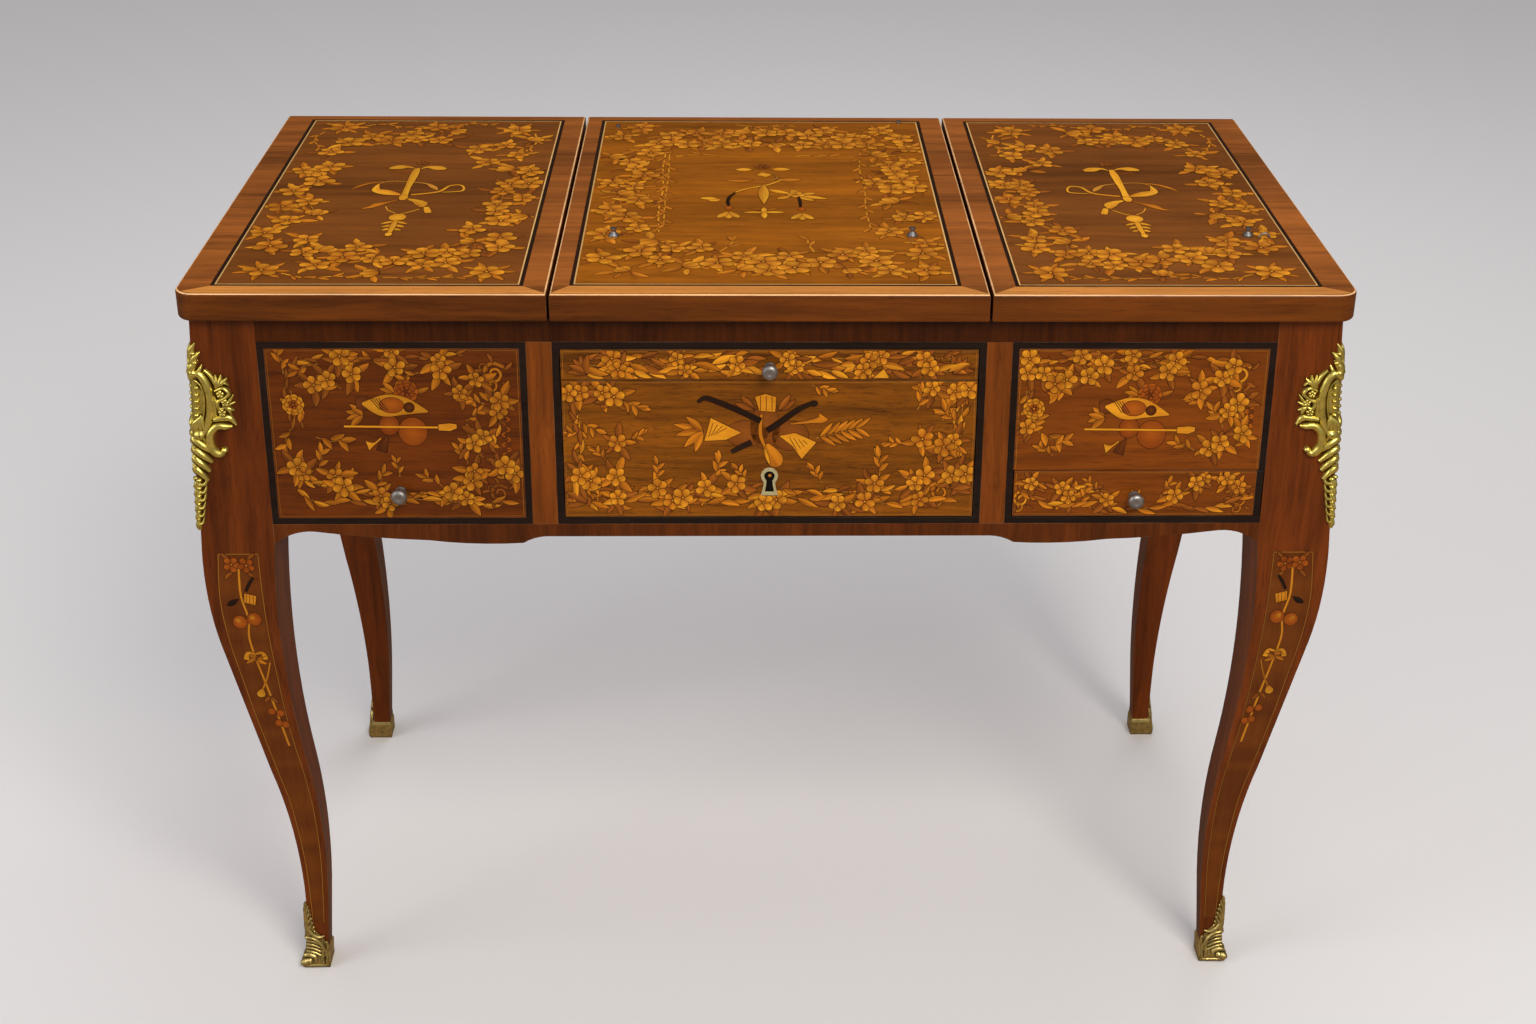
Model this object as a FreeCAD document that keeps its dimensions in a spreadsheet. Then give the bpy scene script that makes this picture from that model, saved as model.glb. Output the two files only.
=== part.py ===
"""A poudreuse dressing table with three hinged lids, in its own frame.

Millimetres, +Z up, front towards -Y, origin on the floor under the middle of the table.
Every size in SIZES is a cell of the sheet, and every piece is bound to those cells.
"""

import FreeCAD, Part
import Sketcher
import math
import operator
import os

SIZES = {
    # the whole table
    "table_width": 1000,
    "table_depth": 530,
    "table_height": 730,
    # running and seating clearances
    "lid_clearance": 0.3,
    "slide_clearance": 0.3,
    "side_clearance": 0.5,
    "front_gap": 1.0,
    "cut_overrun": 5,
    # lids
    "lid_thickness": 25,
    "lid_overhang": 10,
    "lid_gap": 2.5,
    "lid_gap_past_bay": 1,
    "lid_front_corner": 18,
    "lid_rear_corner": 4,
    "lid_edge_rounding": 2.5,
    # case
    "knee_drop": 14.7,
    "post_width": 64,
    "wall_depth": 26,
    "carcase_depth_below_frame": 6,
    "top_rail_height": 21,
    "frame_height": 169,
    "band_width": 6,
    "stile_width": 22,
    "bay_half_width": 186,
    "partition_thickness": 16,
    "partition_setback": 3,
    # front apron, as drops below the frames and places from the middle
    "apron_middle_drop": 12,
    "apron_step_past_bay": 10,
    "apron_lobe_past_bay": 31,
    "apron_lobe_drop": 18.3,
    "apron_sweep_from_post": 136,
    "apron_sweep_drop": 15.6,
    "apron_crest_from_post": 36,
    "apron_crest_drop": 7.2,
    "apron_end_drop": 19.5,
    "apron_step_bulge": 1.5,
    "apron_lobe_bulge": 2,
    "apron_sweep_bulge": 1.2,
    "apron_end_bulge": 4,
    # side aprons
    "side_apron_crest_from_post": 36,
    "side_apron_lobe_bulge": 12,
    "side_apron_end_bulge": 3.5,
    # legs, as insets from the corner of the lids' outline
    "knee_bulge": 3.1,
    "knee_end_drop": 110,
    "knee_end_inset": 5,
    "calf_end_height": 240,
    "calf_end_inset": 30,
    "ankle_bulge": 3.4,
    "ankle_height": 92,
    "ankle_inset": 45.5,
    "ankle_width": 23,
    "foot_inset": 45,
    "foot_width": 17,
    "leg_inner_middle": 245,
    "leg_inner_middle_inset": 65.5,
    "leg_inner_upper_bulge": 5.8,
    "leg_inner_lower_bulge": 3.1,
    # gilt shoes
    "sabot_sole": 2,
    "sabot_wall": 1.6,
    "sabot_toe_reach": 6,
    "sabot_heel_reach": 2,
    "sabot_toe_height": 7,
    "sabot_instep_height": 18,
    "sabot_instep_reach": 3,
    "sabot_collar_height": 30,
    "sabot_leaf_height": 76,
    # gilt corner mounts
    "chute_top_drop": 23.7,
    "chute_height": 167,
    "chute_reach": 40,
    "chute_relief": 4,
    # hinges
    "hinge_length": 50,
    "hinge_from_lid_end": 115,
    "rear_hinge_from_lid_end": 75.75,
    "pivot_inset": 2,
    "knuckle_radius": 2,
    "pin_radius": 0.9,
    "pin_play": 0.1,
    "knuckle_play": 0.4,
    "leaf_reach": 20,
    "leaf_thickness": 1.25,
    "hinge_screw_inset": 15,
    "hinge_screw_place": 14,
    "screw_head_radius": 2.4,
    "screw_radius": 1.3,
    "screw_length": 9,
    # mirror under the middle lid
    "mirror_side_margin": 35.75,
    "mirror_end_margin": 65,
    "mirror_frame_width": 18,
    "mirror_frame_thickness": 10,
    "mirror_rebate": 6,
    "mirror_glass_thickness": 4,
    # floors and runners
    "well_floor_thickness": 8,
    "drawer_well_floor_thickness": 6,
    "tray_floor_thickness": 6,
    "runner_width": 29,
    "guide_height": 24,
    "slide_runner_width": 24,
    "slide_runner_height": 11,
    # writing slide
    "slide_front_height": 27,
    "slide_board_thickness": 12,
    "slide_board_drop": 3.5,
    "slide_board_inset": 7,
    "slide_back_gap": 98,
    "leather_side_margin": 24,
    "leather_front_margin": 20,
    "leather_back_margin": 110,
    "leather_thickness": 1,
    # middle drawer
    "drawer_side_thickness": 10,
    "drawer_side_inset": 2,
    "drawer_back_gap": 38,
    "drawer_side_top_drop": 7,
    "drawer_bottom_thickness": 6,
    "drawer_bottom_rise": 4,
    "drawer_back_drop": 4,
    # small drawer on the right
    "small_front_height": 43,
    "small_side_thickness": 8,
    "small_side_inset": 3,
    "small_drawer_back_gap": 88,
    "small_side_top_drop": 8,
    "small_bottom_thickness": 5,
    "small_bottom_rise": 3,
    "small_back_drop": 3,
    "small_guide_width": 12,
    # turned knobs
    "knob_radius": 7,
    "knob_length": 15,
    "knob_head_length": 9,
    "knob_neck_radius": 3.2,
    "knob_flat_radius": 1.5,
    "knob_collar_radius": 5,
    "knob_collar_thickness": 2,
    "knob_stem_radius": 2,
    "knob_stem_length": 9,
    "slide_knob_rise": 11.3,
    "left_knob_rise": 25.3,
    "small_knob_rise": 19.3,
    # lock of the middle drawer
    "keyhole_rise": 34.3,
    "keyhole_radius": 2.6,
    "key_slot_width": 2.6,
    "key_slot_drop": 8,
    "escutcheon_thickness": 1.5,
    "escutcheon_radius": 7.5,
    "escutcheon_top": 12.5,
    "escutcheon_foot": 13.5,
    "escutcheon_foot_half_width": 7.5,
    "escutcheon_waist_half_width": 4.3,
    "escutcheon_waist_drop": 5,
    "lock_half_width": 24,
    "lock_height": 46,
    "lock_depth": 12,
    "bolt_half_width": 8,
    "bolt_play": 0.4,
    "bolt_thickness": 5,
    "bolt_length": 16,
    "bolt_inset": 3.5,
    "bolt_throw": 6,
    "mortise_play": 4,
    # studs and hook on the lids
    "stud_radius": 4.8,
    "stud_height": 9,
    "stud_flange": 1.3,
    "stud_neck_radius": 2,
    "stud_cap_radius": 3.2,
    "peg_radius": 2.2,
    "peg_height": 2.5,
    "stud_root": 5,
    "hook_ring_radius": 4.5,
    "hook_wire_radius": 0.9,
    # how far these stand from the edges of the lids that carry them
    "left_stud_from_side": 46.75,
    "left_stud_from_front": 148,
    "right_stud_from_side": 55.75,
    "right_stud_from_front": 150,
    "left_peg_from_side": 33.75,
    "left_peg_from_rear": 39,
    "right_peg_from_side": 44.75,
    "right_peg_from_rear": 21,
    "lid_stud_from_side": 65,
    "lid_stud_from_front": 152,
    "hook_from_side": 51,
    "hook_from_front": 146,
}

# the corner mount's edge, from its top down: share of its height, share of its reach
CHUTE_EDGE_SHARES = (
    (1.00, 0.20),
    (0.95, 0.42),
    (0.84, 0.34),
    (0.79, 0.60),
    (0.74, 0.95),
    (0.64, 1.00),
    (0.55, 0.74),
    (0.49, 0.60),
    (0.43, 0.70),
    (0.37, 0.42),
    (0.25, 0.30),
    (0.12, 0.17),
    (0.00, 0.05),
)

HALF_TURN = 180
QUARTER_TURN = 90
# how far a quarter circle stands off its chord, as a share of its radius
QUARTER_BULGE_SHARE = 1 - math.sqrt(0.5)
# a cut that takes less than this, in cubic millimetres, has missed its piece
IDLE_CUT = 1e-3
CUBIC_MM_PER_CUBIC_CM = 1000
SUMS = {"+": operator.add, "-": operator.sub, "*": operator.mul, "/": operator.truediv}

doc = FreeCAD.newDocument("poudreuse")


class Size:
    """A length: its text over the sheet's aliases, with its value for drawing."""

    def __init__(self, text, value):
        self.text = text
        self.value = value

    def __add__(self, other):
        return joined(self, "+", other)

    def __radd__(self, other):
        return joined(other, "+", self)

    def __sub__(self, other):
        return joined(self, "-", other)

    def __rsub__(self, other):
        return joined(other, "-", self)

    def __mul__(self, other):
        return joined(self, "*", other)

    def __rmul__(self, other):
        return joined(other, "*", self)

    def __truediv__(self, other):
        return joined(self, "/", other)

    def __neg__(self):
        return joined(0, "-", self)


def as_size(length):
    if isinstance(length, Size):
        return length
    return Size(repr(length), float(length))


def joined(first, sign, second):
    first = as_size(first)
    second = as_size(second)
    value = SUMS[sign](first.value, second.value)
    return Size(f"({first.text} {sign} {second.text})", value)


def root(size):
    return Size(f"sqrt({size.text})", math.sqrt(size.value))


class Sheet:
    """The driving sizes, each a cell with a word for its alias."""

    def __init__(self, sizes):
        cells = doc.addObject("Spreadsheet::Sheet", "dims")
        for row, (word, length) in enumerate(sizes.items(), start=1):
            cells.set(f"A{row}", word)
            cells.set(f"B{row}", str(length))
            cells.setAlias(f"B{row}", word)
            setattr(self, word, Size(f"dims.{word}", float(length)))


d = Sheet(SIZES)
doc.recompute()

# heights and planes that several pieces share
half_width = d.table_width / 2
half_depth = d.table_depth / 2
lid_underside = d.table_height - d.lid_thickness
case_top = lid_underside - d.lid_clearance
pivot_height = lid_underside - d.lid_clearance / 2
frame_top = case_top - d.top_rail_height
frame_bottom = frame_top - d.frame_height
opening_top = frame_top - d.band_width
opening_bottom = frame_bottom + d.band_width
carcase_bottom = frame_bottom - d.carcase_depth_below_frame
apron_low = frame_bottom - d.apron_end_drop
post_x = half_width - d.post_width
post_y = half_depth - d.post_width
wall_x = half_width - d.wall_depth
wall_y = half_depth - d.wall_depth
knee_height = frame_bottom - d.knee_drop
stile_outer = d.bay_half_width + d.stile_width
partition_inner = d.bay_half_width + d.partition_setback
partition_outer = partition_inner + d.partition_thickness


def inset(height):
    """How far the leaning faces of the case stand in from the lids' edge."""
    return d.lid_overhang * (height - knee_height) / (case_top - knee_height)


def face_y(height):
    """The front face, which leans out towards the knees."""
    return inset(height) - half_depth


# a plane in front of the whole leaning face, where cuts into it start
front_clear = face_y(apron_low) - d.cut_overrun
rear_clear = d.cut_overrun - wall_y

kept = {}
pockets = []


def new_body(label):
    body = doc.addObject("PartDesign::Body", label)
    body.Label = label
    return body


def keep(item, label):
    """Mark an object as one of the table's pieces."""
    item.Label = label
    kept[label] = item
    return item


def new_sketch(body, plane_role, offset):
    """A sketch on one of the body's own planes; offset is along the plane's normal."""
    plane = next(item for item in body.Origin.OriginFeatures if item.Role == plane_role)
    sketch = body.newObject("Sketcher::SketchObject", body.Name + "_sketch")
    sketch.AttachmentSupport = [(plane, "")]
    sketch.MapMode = "FlatFace"
    sketch.setExpression("AttachmentOffset.Base.z", as_size(offset).text)
    return sketch


def hold(sketch, kind, *references, size):
    """Add a constraint whose size follows the sheet."""
    size = as_size(size)
    number = sketch.addConstraint(Sketcher.Constraint(kind, *references, size.value))
    sketch.setExpression(f"Constraints[{number}]", size.text)


def draw(sketch, points, arcs=None):
    """Draw a closed outline. arcs gives, for a point's number, how far the edge that
    starts there stands off its chord: to the left of its run, or right if negative."""
    points = [(as_size(across), as_size(up)) for across, up in points]
    arcs = arcs or {}
    ends = []
    crowns = []
    for number, (across, up) in enumerate(points):
        next_across, next_up = points[(number + 1) % len(points)]
        start = FreeCAD.Vector(across.value, up.value, 0)
        end = FreeCAD.Vector(next_across.value, next_up.value, 0)
        if number in arcs:
            run = next_across - across
            rise = next_up - up
            chord = root(run * run + rise * rise)
            lean = arcs[number] / chord
            crown_across = (across + next_across) / 2 - rise * lean
            crown_up = (up + next_up) / 2 + run * lean
            crown = FreeCAD.Vector(crown_across.value, crown_up.value, 0)
            edge = sketch.addGeometry(Part.Arc(start, crown, end), False)
            forward = sketch.getPoint(edge, 1).distanceToPoint(start) < chord.value / 2
            mark = sketch.addGeometry(Part.Point(crown), True)
            crowns.append((edge, mark, crown_across, crown_up))
            ends.append((edge, 1, 2) if forward else (edge, 2, 1))
        else:
            edge = sketch.addGeometry(Part.LineSegment(start, end), False)
            ends.append((edge, 1, 2))
    for number, (edge, first, last) in enumerate(ends):
        next_edge, next_first, _ = ends[(number + 1) % len(ends)]
        sketch.addConstraint(Sketcher.Constraint("Coincident", edge, last, next_edge, next_first))
        across, up = points[number]
        hold(sketch, "DistanceX", -1, 1, edge, first, size=across)
        hold(sketch, "DistanceY", -1, 1, edge, first, size=up)
    for edge, mark, across, up in crowns:
        hold(sketch, "DistanceX", -1, 1, mark, 1, size=across)
        hold(sketch, "DistanceY", -1, 1, mark, 1, size=up)
        sketch.addConstraint(Sketcher.Constraint("PointOnObject", mark, 1, edge))


def draw_circle(sketch, across, up, radius):
    across = as_size(across)
    up = as_size(up)
    centre = FreeCAD.Vector(across.value, up.value, 0)
    circle = Part.Circle(centre, FreeCAD.Vector(0, 0, 1), radius.value)
    edge = sketch.addGeometry(circle, False)
    hold(sketch, "DistanceX", -1, 1, edge, 3, size=across)
    hold(sketch, "DistanceY", -1, 1, edge, 3, size=up)
    hold(sketch, "Radius", edge, size=radius)


def box_points(low, high):
    """The corners of an upright rectangle between two corners."""
    return [low, (high[0], low[1]), high, (low[0], high[1])]


def pad(body, plane_role, points, low, high, arcs=None, hole=None):
    """Extrude an outline square to its plane, from low to high along that axis."""
    low = as_size(low)
    high = as_size(high)
    start = -high if plane_role == "XZ_Plane" else low
    sketch = new_sketch(body, plane_role, start)
    draw(sketch, points, arcs)
    if hole:
        draw(sketch, hole)
    feature = body.newObject("PartDesign::Pad", body.Name + "_pad")
    feature.Profile = sketch
    feature.setExpression("Length", (high - low).text)
    return feature


def pocket(body, plane_role, outlines, low, high, circles=()):
    """Cut outlines away, from low to high along the axis square to their plane."""
    low = as_size(low)
    high = as_size(high)
    start = -low if plane_role == "XZ_Plane" else high
    sketch = new_sketch(body, plane_role, start)
    for points, arcs in outlines:
        draw(sketch, points, arcs)
    for across, up, radius in circles:
        draw_circle(sketch, across, up, radius)
    feature = body.newObject("PartDesign::Pocket", body.Name + "_pocket")
    feature.Profile = sketch
    feature.setExpression("Length", (high - low).text)
    pockets.append(feature)
    return feature


def turn(body, points, arcs=None):
    """Revolve a half profile (along the axis, out from it) about the Y axis."""
    sketch = new_sketch(body, "YZ_Plane", 0)
    draw(sketch, points, arcs)
    feature = body.newObject("PartDesign::Revolution", body.Name + "_turning")
    feature.Profile = sketch
    feature.ReferenceAxis = (sketch, ["H_Axis"])
    feature.Angle = 2 * HALF_TURN
    return feature


def put(item, x=0, y=0, z=0, axis=None, angle=0):
    """Place an object; angle is in degrees, as a number or as text over the sheet."""
    if axis:
        start_angle = angle if isinstance(angle, (int, float)) else 1
        rotation = FreeCAD.Rotation(FreeCAD.Vector(*axis), start_angle)
        item.Placement = FreeCAD.Placement(FreeCAD.Vector(0, 0, 0), rotation)
        if isinstance(angle, str):
            item.setExpression(".Placement.Rotation.Angle", angle)
    for letter, size in zip("xyz", (x, y, z)):
        item.setExpression(f".Placement.Base.{letter}", as_size(size).text)
    return item


def block(label, low, high):
    """A plain board between two corners."""
    board = doc.addObject("Part::Box", label)
    low = [as_size(size) for size in low]
    high = [as_size(size) for size in high]
    for word, first, last in zip(("Length", "Width", "Height"), low, high):
        board.setExpression(word, (last - first).text)
    return put(board, *low)


def group(label, items):
    """Several separate solids under one name."""
    bundle = doc.addObject("Part::Compound", label)
    bundle.Links = items
    return keep(bundle, label)


def front_piece(label, x_low, x_high, z_low, z_high, back=None):
    """A piece of the leaning front: leaning face, upright back."""
    body = new_body(label)
    back = -wall_y if back is None else back
    outline = [
        (face_y(z_low), z_low),
        (back, z_low),
        (back, z_high),
        (face_y(z_high), z_high),
    ]
    pad(body, "YZ_Plane", outline, x_low, x_high)
    return keep(body, label)


# how the corner frame of each leg is turned: inward is +X and +Y of the leg's own frame
CORNERS = {
    "front_left": (-1, -1, 0),
    "front_right": (1, -1, QUARTER_TURN),
    "rear_right": (1, 1, HALF_TURN),
    "rear_left": (-1, 1, -QUARTER_TURN),
}


def put_at_corner(body, corner):
    side, end, angle = CORNERS[corner]
    return put(body, half_width * side, half_depth * end, 0, (0, 0, 1), angle)


def foot_outer(height):
    """Outer side of the foot, which kicks out a little below the ankle."""
    climb = (height - d.sabot_sole) / (d.ankle_height - d.sabot_sole)
    return d.foot_inset + (d.ankle_inset - d.foot_inset) * climb


def foot_inner(height):
    """Inner side of the foot, which is narrower at the sole than at the ankle."""
    climb = (height - d.sabot_sole) / (d.ankle_height - d.sabot_sole)
    return foot_outer(height) + d.foot_width + (d.ankle_width - d.foot_width) * climb


def leg_profile():
    """The sawn outline of a leg, the same seen from the front and from the side."""
    points = [
        (d.lid_overhang, case_top),
        (0, knee_height),
        (d.knee_end_inset, knee_height - d.knee_end_drop),
        (d.calf_end_inset, d.calf_end_height),
        (d.ankle_inset, d.ankle_height),
        (d.foot_inset, d.sabot_sole),
        (foot_inner(d.sabot_sole), d.sabot_sole),
        (foot_inner(d.ankle_height), d.ankle_height),
        (d.leg_inner_middle_inset, d.leg_inner_middle),
        (d.post_width, apron_low),
        (d.post_width, case_top),
    ]
    arcs = {
        1: -d.knee_bulge,
        3: d.ankle_bulge,
        7: -d.leg_inner_lower_bulge,
        8: d.leg_inner_upper_bulge,
    }
    return points, arcs


def build_leg(corner):
    """A cabriole leg and corner post in one, sawn from two sides of a square blank."""
    label = "leg_" + corner
    body = new_body(label)
    points, arcs = leg_profile()
    low = -d.cut_overrun
    high = d.post_width + d.cut_overrun * 2
    pad(body, "XZ_Plane", points, low, high, arcs)
    blank = box_points((low * 2, -d.cut_overrun), (high * 2, case_top + d.cut_overrun))
    pocket(body, "YZ_Plane", [(blank, None), (points, arcs)], low * 2, high * 2)
    put_at_corner(body, corner)
    keep(body, label)


def loft(body, kind, sections):
    """A ruled loft through outlines that lie at the given heights."""
    sketches = []
    for height, points in sections:
        sketch = new_sketch(body, "XY_Plane", height)
        draw(sketch, points)
        sketches.append(sketch)
    feature = body.newObject(kind, body.Name + "_loft")
    feature.Profile = sketches[0]
    feature.Sections = sketches[1:]
    feature.Ruled = True
    return feature


def square_points(low, high):
    return box_points((low, low), (high, high))


# rim of a shoe from the leaf's tip to the inner side, as shares of the ankle's width and the leaf's height
SABOT_RIM_SHARES = ((0.24, 0.56), (0.62, 0.40), (0.88, 0.20), (1.3, 0.18))


def build_sabot(corner):
    """A cast shoe: scrolled toe, a wall round the foot and a leaf up the outer corner."""
    label = "sabot_" + corner
    body = new_body(label)
    toe = d.foot_inset - d.sabot_toe_reach
    heel = foot_inner(d.sabot_sole) + d.sabot_heel_reach
    instep = d.sabot_instep_height
    collar = d.sabot_collar_height
    top = d.sabot_leaf_height
    wall = d.sabot_wall
    instep_outer = foot_outer(instep) - d.sabot_instep_reach
    loft(body, "PartDesign::AdditiveLoft", [
        (0, square_points(toe, heel)),
        (d.sabot_toe_height, square_points(toe, heel)),
        (instep, square_points(instep_outer, foot_inner(instep) + wall)),
        (collar, square_points(foot_outer(collar) - wall, foot_inner(collar) + wall)),
        (top, square_points(foot_outer(top) - wall, foot_inner(top) + wall)),
    ])
    loft(body, "PartDesign::SubtractiveLoft", [
        (d.sabot_sole, square_points(foot_outer(d.sabot_sole), foot_inner(d.sabot_sole))),
        (top, square_points(foot_outer(top), foot_inner(top))),
    ])
    low = toe - d.cut_overrun
    high = heel + d.cut_overrun
    rim = []
    for across_share, height_share in SABOT_RIM_SHARES:
        rim.append((foot_outer(top) + d.ankle_width * across_share, top * height_share))
    waste = [(foot_outer(top), top)] + rim + [
        (rim[-1][0], top + d.cut_overrun),
        (foot_outer(top), top + d.cut_overrun),
    ]
    pocket(body, "XZ_Plane", [(waste, None)], low, high)
    pocket(body, "YZ_Plane", [(waste, None)], low, high)
    put_at_corner(body, corner)
    keep(body, label)


def build_chute(corner):
    """A cast mount that lies over the corner of a front post, arms on both faces."""
    label = "chute_" + corner
    body = new_body(label)
    top = case_top - d.chute_top_drop
    bottom = top - d.chute_height

    def angle_section(height):
        near = inset(height) - d.chute_relief
        face = inset(height)
        far = inset(height) + d.chute_reach
        return [(near, near), (far, near), (far, face), (face, face), (face, far), (near, far)]

    loft(body, "PartDesign::AdditiveLoft", [
        (bottom, angle_section(bottom)),
        (top, angle_section(top)),
    ])
    edge = []
    for height_share, reach_share in CHUTE_EDGE_SHARES:
        height = bottom + d.chute_height * height_share
        edge.append((inset(height) + d.chute_reach * reach_share, height))
    clear = d.chute_reach + d.lid_overhang + d.cut_overrun
    waste = edge + [
        (edge[-1][0], bottom - d.cut_overrun),
        (clear, bottom - d.cut_overrun),
        (clear, top + d.cut_overrun),
        (edge[0][0], top + d.cut_overrun),
    ]
    low = -d.cut_overrun * 2
    pocket(body, "XZ_Plane", [(waste, None)], low, clear)
    pocket(body, "YZ_Plane", [(waste, None)], low, clear)
    put_at_corner(body, corner)
    keep(body, label)


for corner_name in CORNERS:
    build_leg(corner_name)
    build_sabot(corner_name)
for corner_name in ("front_left", "front_right"):
    build_chute(corner_name)


# front of the case
drawer_front_bottom = opening_bottom + d.front_gap
bolt_back = -wall_y - d.bolt_inset
bolt_front = bolt_back - d.bolt_thickness

front_piece("front_top_rail", -post_x, post_x, frame_top, case_top)
front_piece("left_stile", -stile_outer, -d.bay_half_width, frame_bottom, frame_top)
front_piece("right_stile", d.bay_half_width, stile_outer, frame_bottom, frame_top)


def mirrored_outline(half, half_arcs):
    """The right half of an edge, from the middle out, and its mirror image."""
    left = [(-across, up) for across, up in reversed(half)]
    arcs = {}
    last = len(half) - 1
    for number, bulge in half_arcs.items():
        arcs[last - 1 - number] = bulge
        arcs[last + 1 + number] = bulge
    return left + half, arcs


def build_front_bottom_rail():
    """The shaped lower rail: level middle, a cusp, a lobe and a crest beside each leg."""
    body = front_piece("front_bottom_rail", -post_x, post_x, apron_low, frame_bottom)
    half = [
        (d.bay_half_width + d.apron_step_past_bay, frame_bottom - d.apron_middle_drop),
        (d.bay_half_width + d.apron_lobe_past_bay, frame_bottom - d.apron_lobe_drop),
        (post_x - d.apron_sweep_from_post, frame_bottom - d.apron_sweep_drop),
        (post_x - d.apron_crest_from_post, frame_bottom - d.apron_crest_drop),
        (post_x, apron_low),
    ]
    half_arcs = {
        0: d.apron_step_bulge,
        1: -d.apron_lobe_bulge,
        2: -d.apron_sweep_bulge,
        3: d.apron_end_bulge,
    }
    edge, arcs = mirrored_outline(half, half_arcs)
    below = apron_low - d.cut_overrun
    waste = edge + [(post_x, below), (-post_x, below)]
    pocket(body, "XZ_Plane", [(waste, arcs)], front_clear, rear_clear)
    mortise_bottom = drawer_front_bottom - d.bolt_throw - d.mortise_play
    cut_bolt_slot(body, mortise_bottom, frame_bottom + d.cut_overrun)


def cut_bolt_slot(body, low, high):
    """The slot that the bolt of the drawer's lock shoots through."""
    half = d.bolt_half_width + d.bolt_play
    front = bolt_front - d.bolt_play
    back = bolt_back + d.bolt_play
    pocket(body, "XY_Plane", [(box_points((-half, front), (half, back)), None)], low, high)


build_front_bottom_rail()


def build_band(label, x_low, x_high, opening):
    """An ebonised band round a bay; opening is the outline left free inside it."""
    body = front_piece(label, x_low, x_high, frame_bottom, frame_top)
    pocket(body, "XZ_Plane", [(opening, None)], front_clear, rear_clear)
    return body


bay_inner = d.bay_half_width - d.band_width
side_bay_inner = stile_outer + d.band_width
side_bay_outer = post_x - d.band_width
side_bay_middle = (side_bay_inner + side_bay_outer) / 2
small_front_bottom = opening_bottom + d.front_gap
small_front_top = small_front_bottom + d.small_front_height
upper_front_bottom = small_front_top + d.front_gap

build_band("left_band", -post_x, -stile_outer,
           box_points((-side_bay_outer, opening_bottom), (-side_bay_inner, opening_top)))
centre_band = build_band("centre_band", -d.bay_half_width, d.bay_half_width,
                         box_points((-bay_inner, opening_bottom), (bay_inner, opening_top)))
# the lower part of this band's outer side is carried by the small drawer
build_band("right_band", stile_outer, post_x, [
    (side_bay_inner, opening_bottom),
    (post_x + d.cut_overrun, opening_bottom),
    (post_x + d.cut_overrun, upper_front_bottom),
    (side_bay_outer, upper_front_bottom),
    (side_bay_outer, opening_top),
    (side_bay_inner, opening_top),
])
cut_bolt_slot(centre_band, frame_bottom - d.cut_overrun, opening_bottom + d.cut_overrun)


def drill_knob_hole(body, across, height):
    """A hole for a knob's stem, square to the leaning face near enough to be upright."""
    pocket(body, "XZ_Plane", [], front_clear, rear_clear,
           circles=[(across, height, d.knob_stem_radius)])


left_front = front_piece("left_false_front", -side_bay_outer, -side_bay_inner,
                         opening_bottom, opening_top)
left_knob_height = opening_bottom + d.left_knob_rise
drill_knob_hole(left_front, -side_bay_middle, left_knob_height)
front_piece("right_false_front", side_bay_inner, side_bay_outer,
            upper_front_bottom, opening_top)


def build_knob(label, across, height):
    """A turned knob: stem, collar, neck and round head, along -Y."""
    body = new_body(label)
    neck_end = d.knob_length - d.knob_head_length
    points = [
        (d.knob_stem_length, 0),
        (d.knob_stem_length, d.knob_stem_radius),
        (0, d.knob_stem_radius),
        (0, d.knob_collar_radius),
        (-d.knob_collar_thickness, d.knob_collar_radius),
        (-d.knob_collar_thickness, d.knob_neck_radius),
        (-neck_end, d.knob_neck_radius),
        (-neck_end - d.knob_head_length / 2, d.knob_radius),
        (-d.knob_length, d.knob_flat_radius),
        (-d.knob_length, 0),
    ]
    rim = d.knob_head_length / 4
    turn(body, points, {6: -rim / 2, 7: -rim})
    put(body, across, face_y(height - d.knob_collar_radius), height)
    return keep(body, label)


build_knob("left_front_knob", -side_bay_middle, left_knob_height)


# sides, back, partitions
def hinge_slots(places_along):
    """Outlines of the fixed leaves' seats, in the wall's own frame."""
    slots = []
    for place in places_along:
        low = (0, place - d.hinge_length / 2)
        high = (d.leaf_reach, place + d.hinge_length / 2)
        slots.append((box_points(low, high), None))
    return slots


def screw_places(places_along):
    """Centres of the two screws of each leaf."""
    centres = []
    for place in places_along:
        for side in (-1, 1):
            centres.append((d.hinge_screw_inset, place + d.hinge_screw_place * side))
    return centres


def seat_fixed_leaves(body, places_along):
    """Cut the leaf seats and the screw holes into the top of a wall."""
    pocket(body, "XY_Plane", hinge_slots(places_along),
           case_top - d.leaf_thickness, case_top + d.cut_overrun)
    holes = [(x, y, d.screw_radius) for x, y in screw_places(places_along)]
    pocket(body, "XY_Plane", [], case_top - d.screw_length, case_top, circles=holes)


lid_gap_place = d.bay_half_width + d.lid_gap_past_bay
centre_lid_half = lid_gap_place - d.lid_gap / 2
side_hinge_place = half_depth - d.hinge_from_lid_end
rear_hinge_place = centre_lid_half - d.rear_hinge_from_lid_end
side_hinges = (-side_hinge_place, side_hinge_place)
rear_hinges = (-rear_hinge_place, rear_hinge_place)


def wall_section(bottom):
    """Section of a leaning wall, in from the lids' edge."""
    return [
        (inset(bottom), bottom),
        (d.wall_depth, bottom),
        (d.wall_depth, case_top),
        (d.lid_overhang, case_top),
    ]


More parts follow.
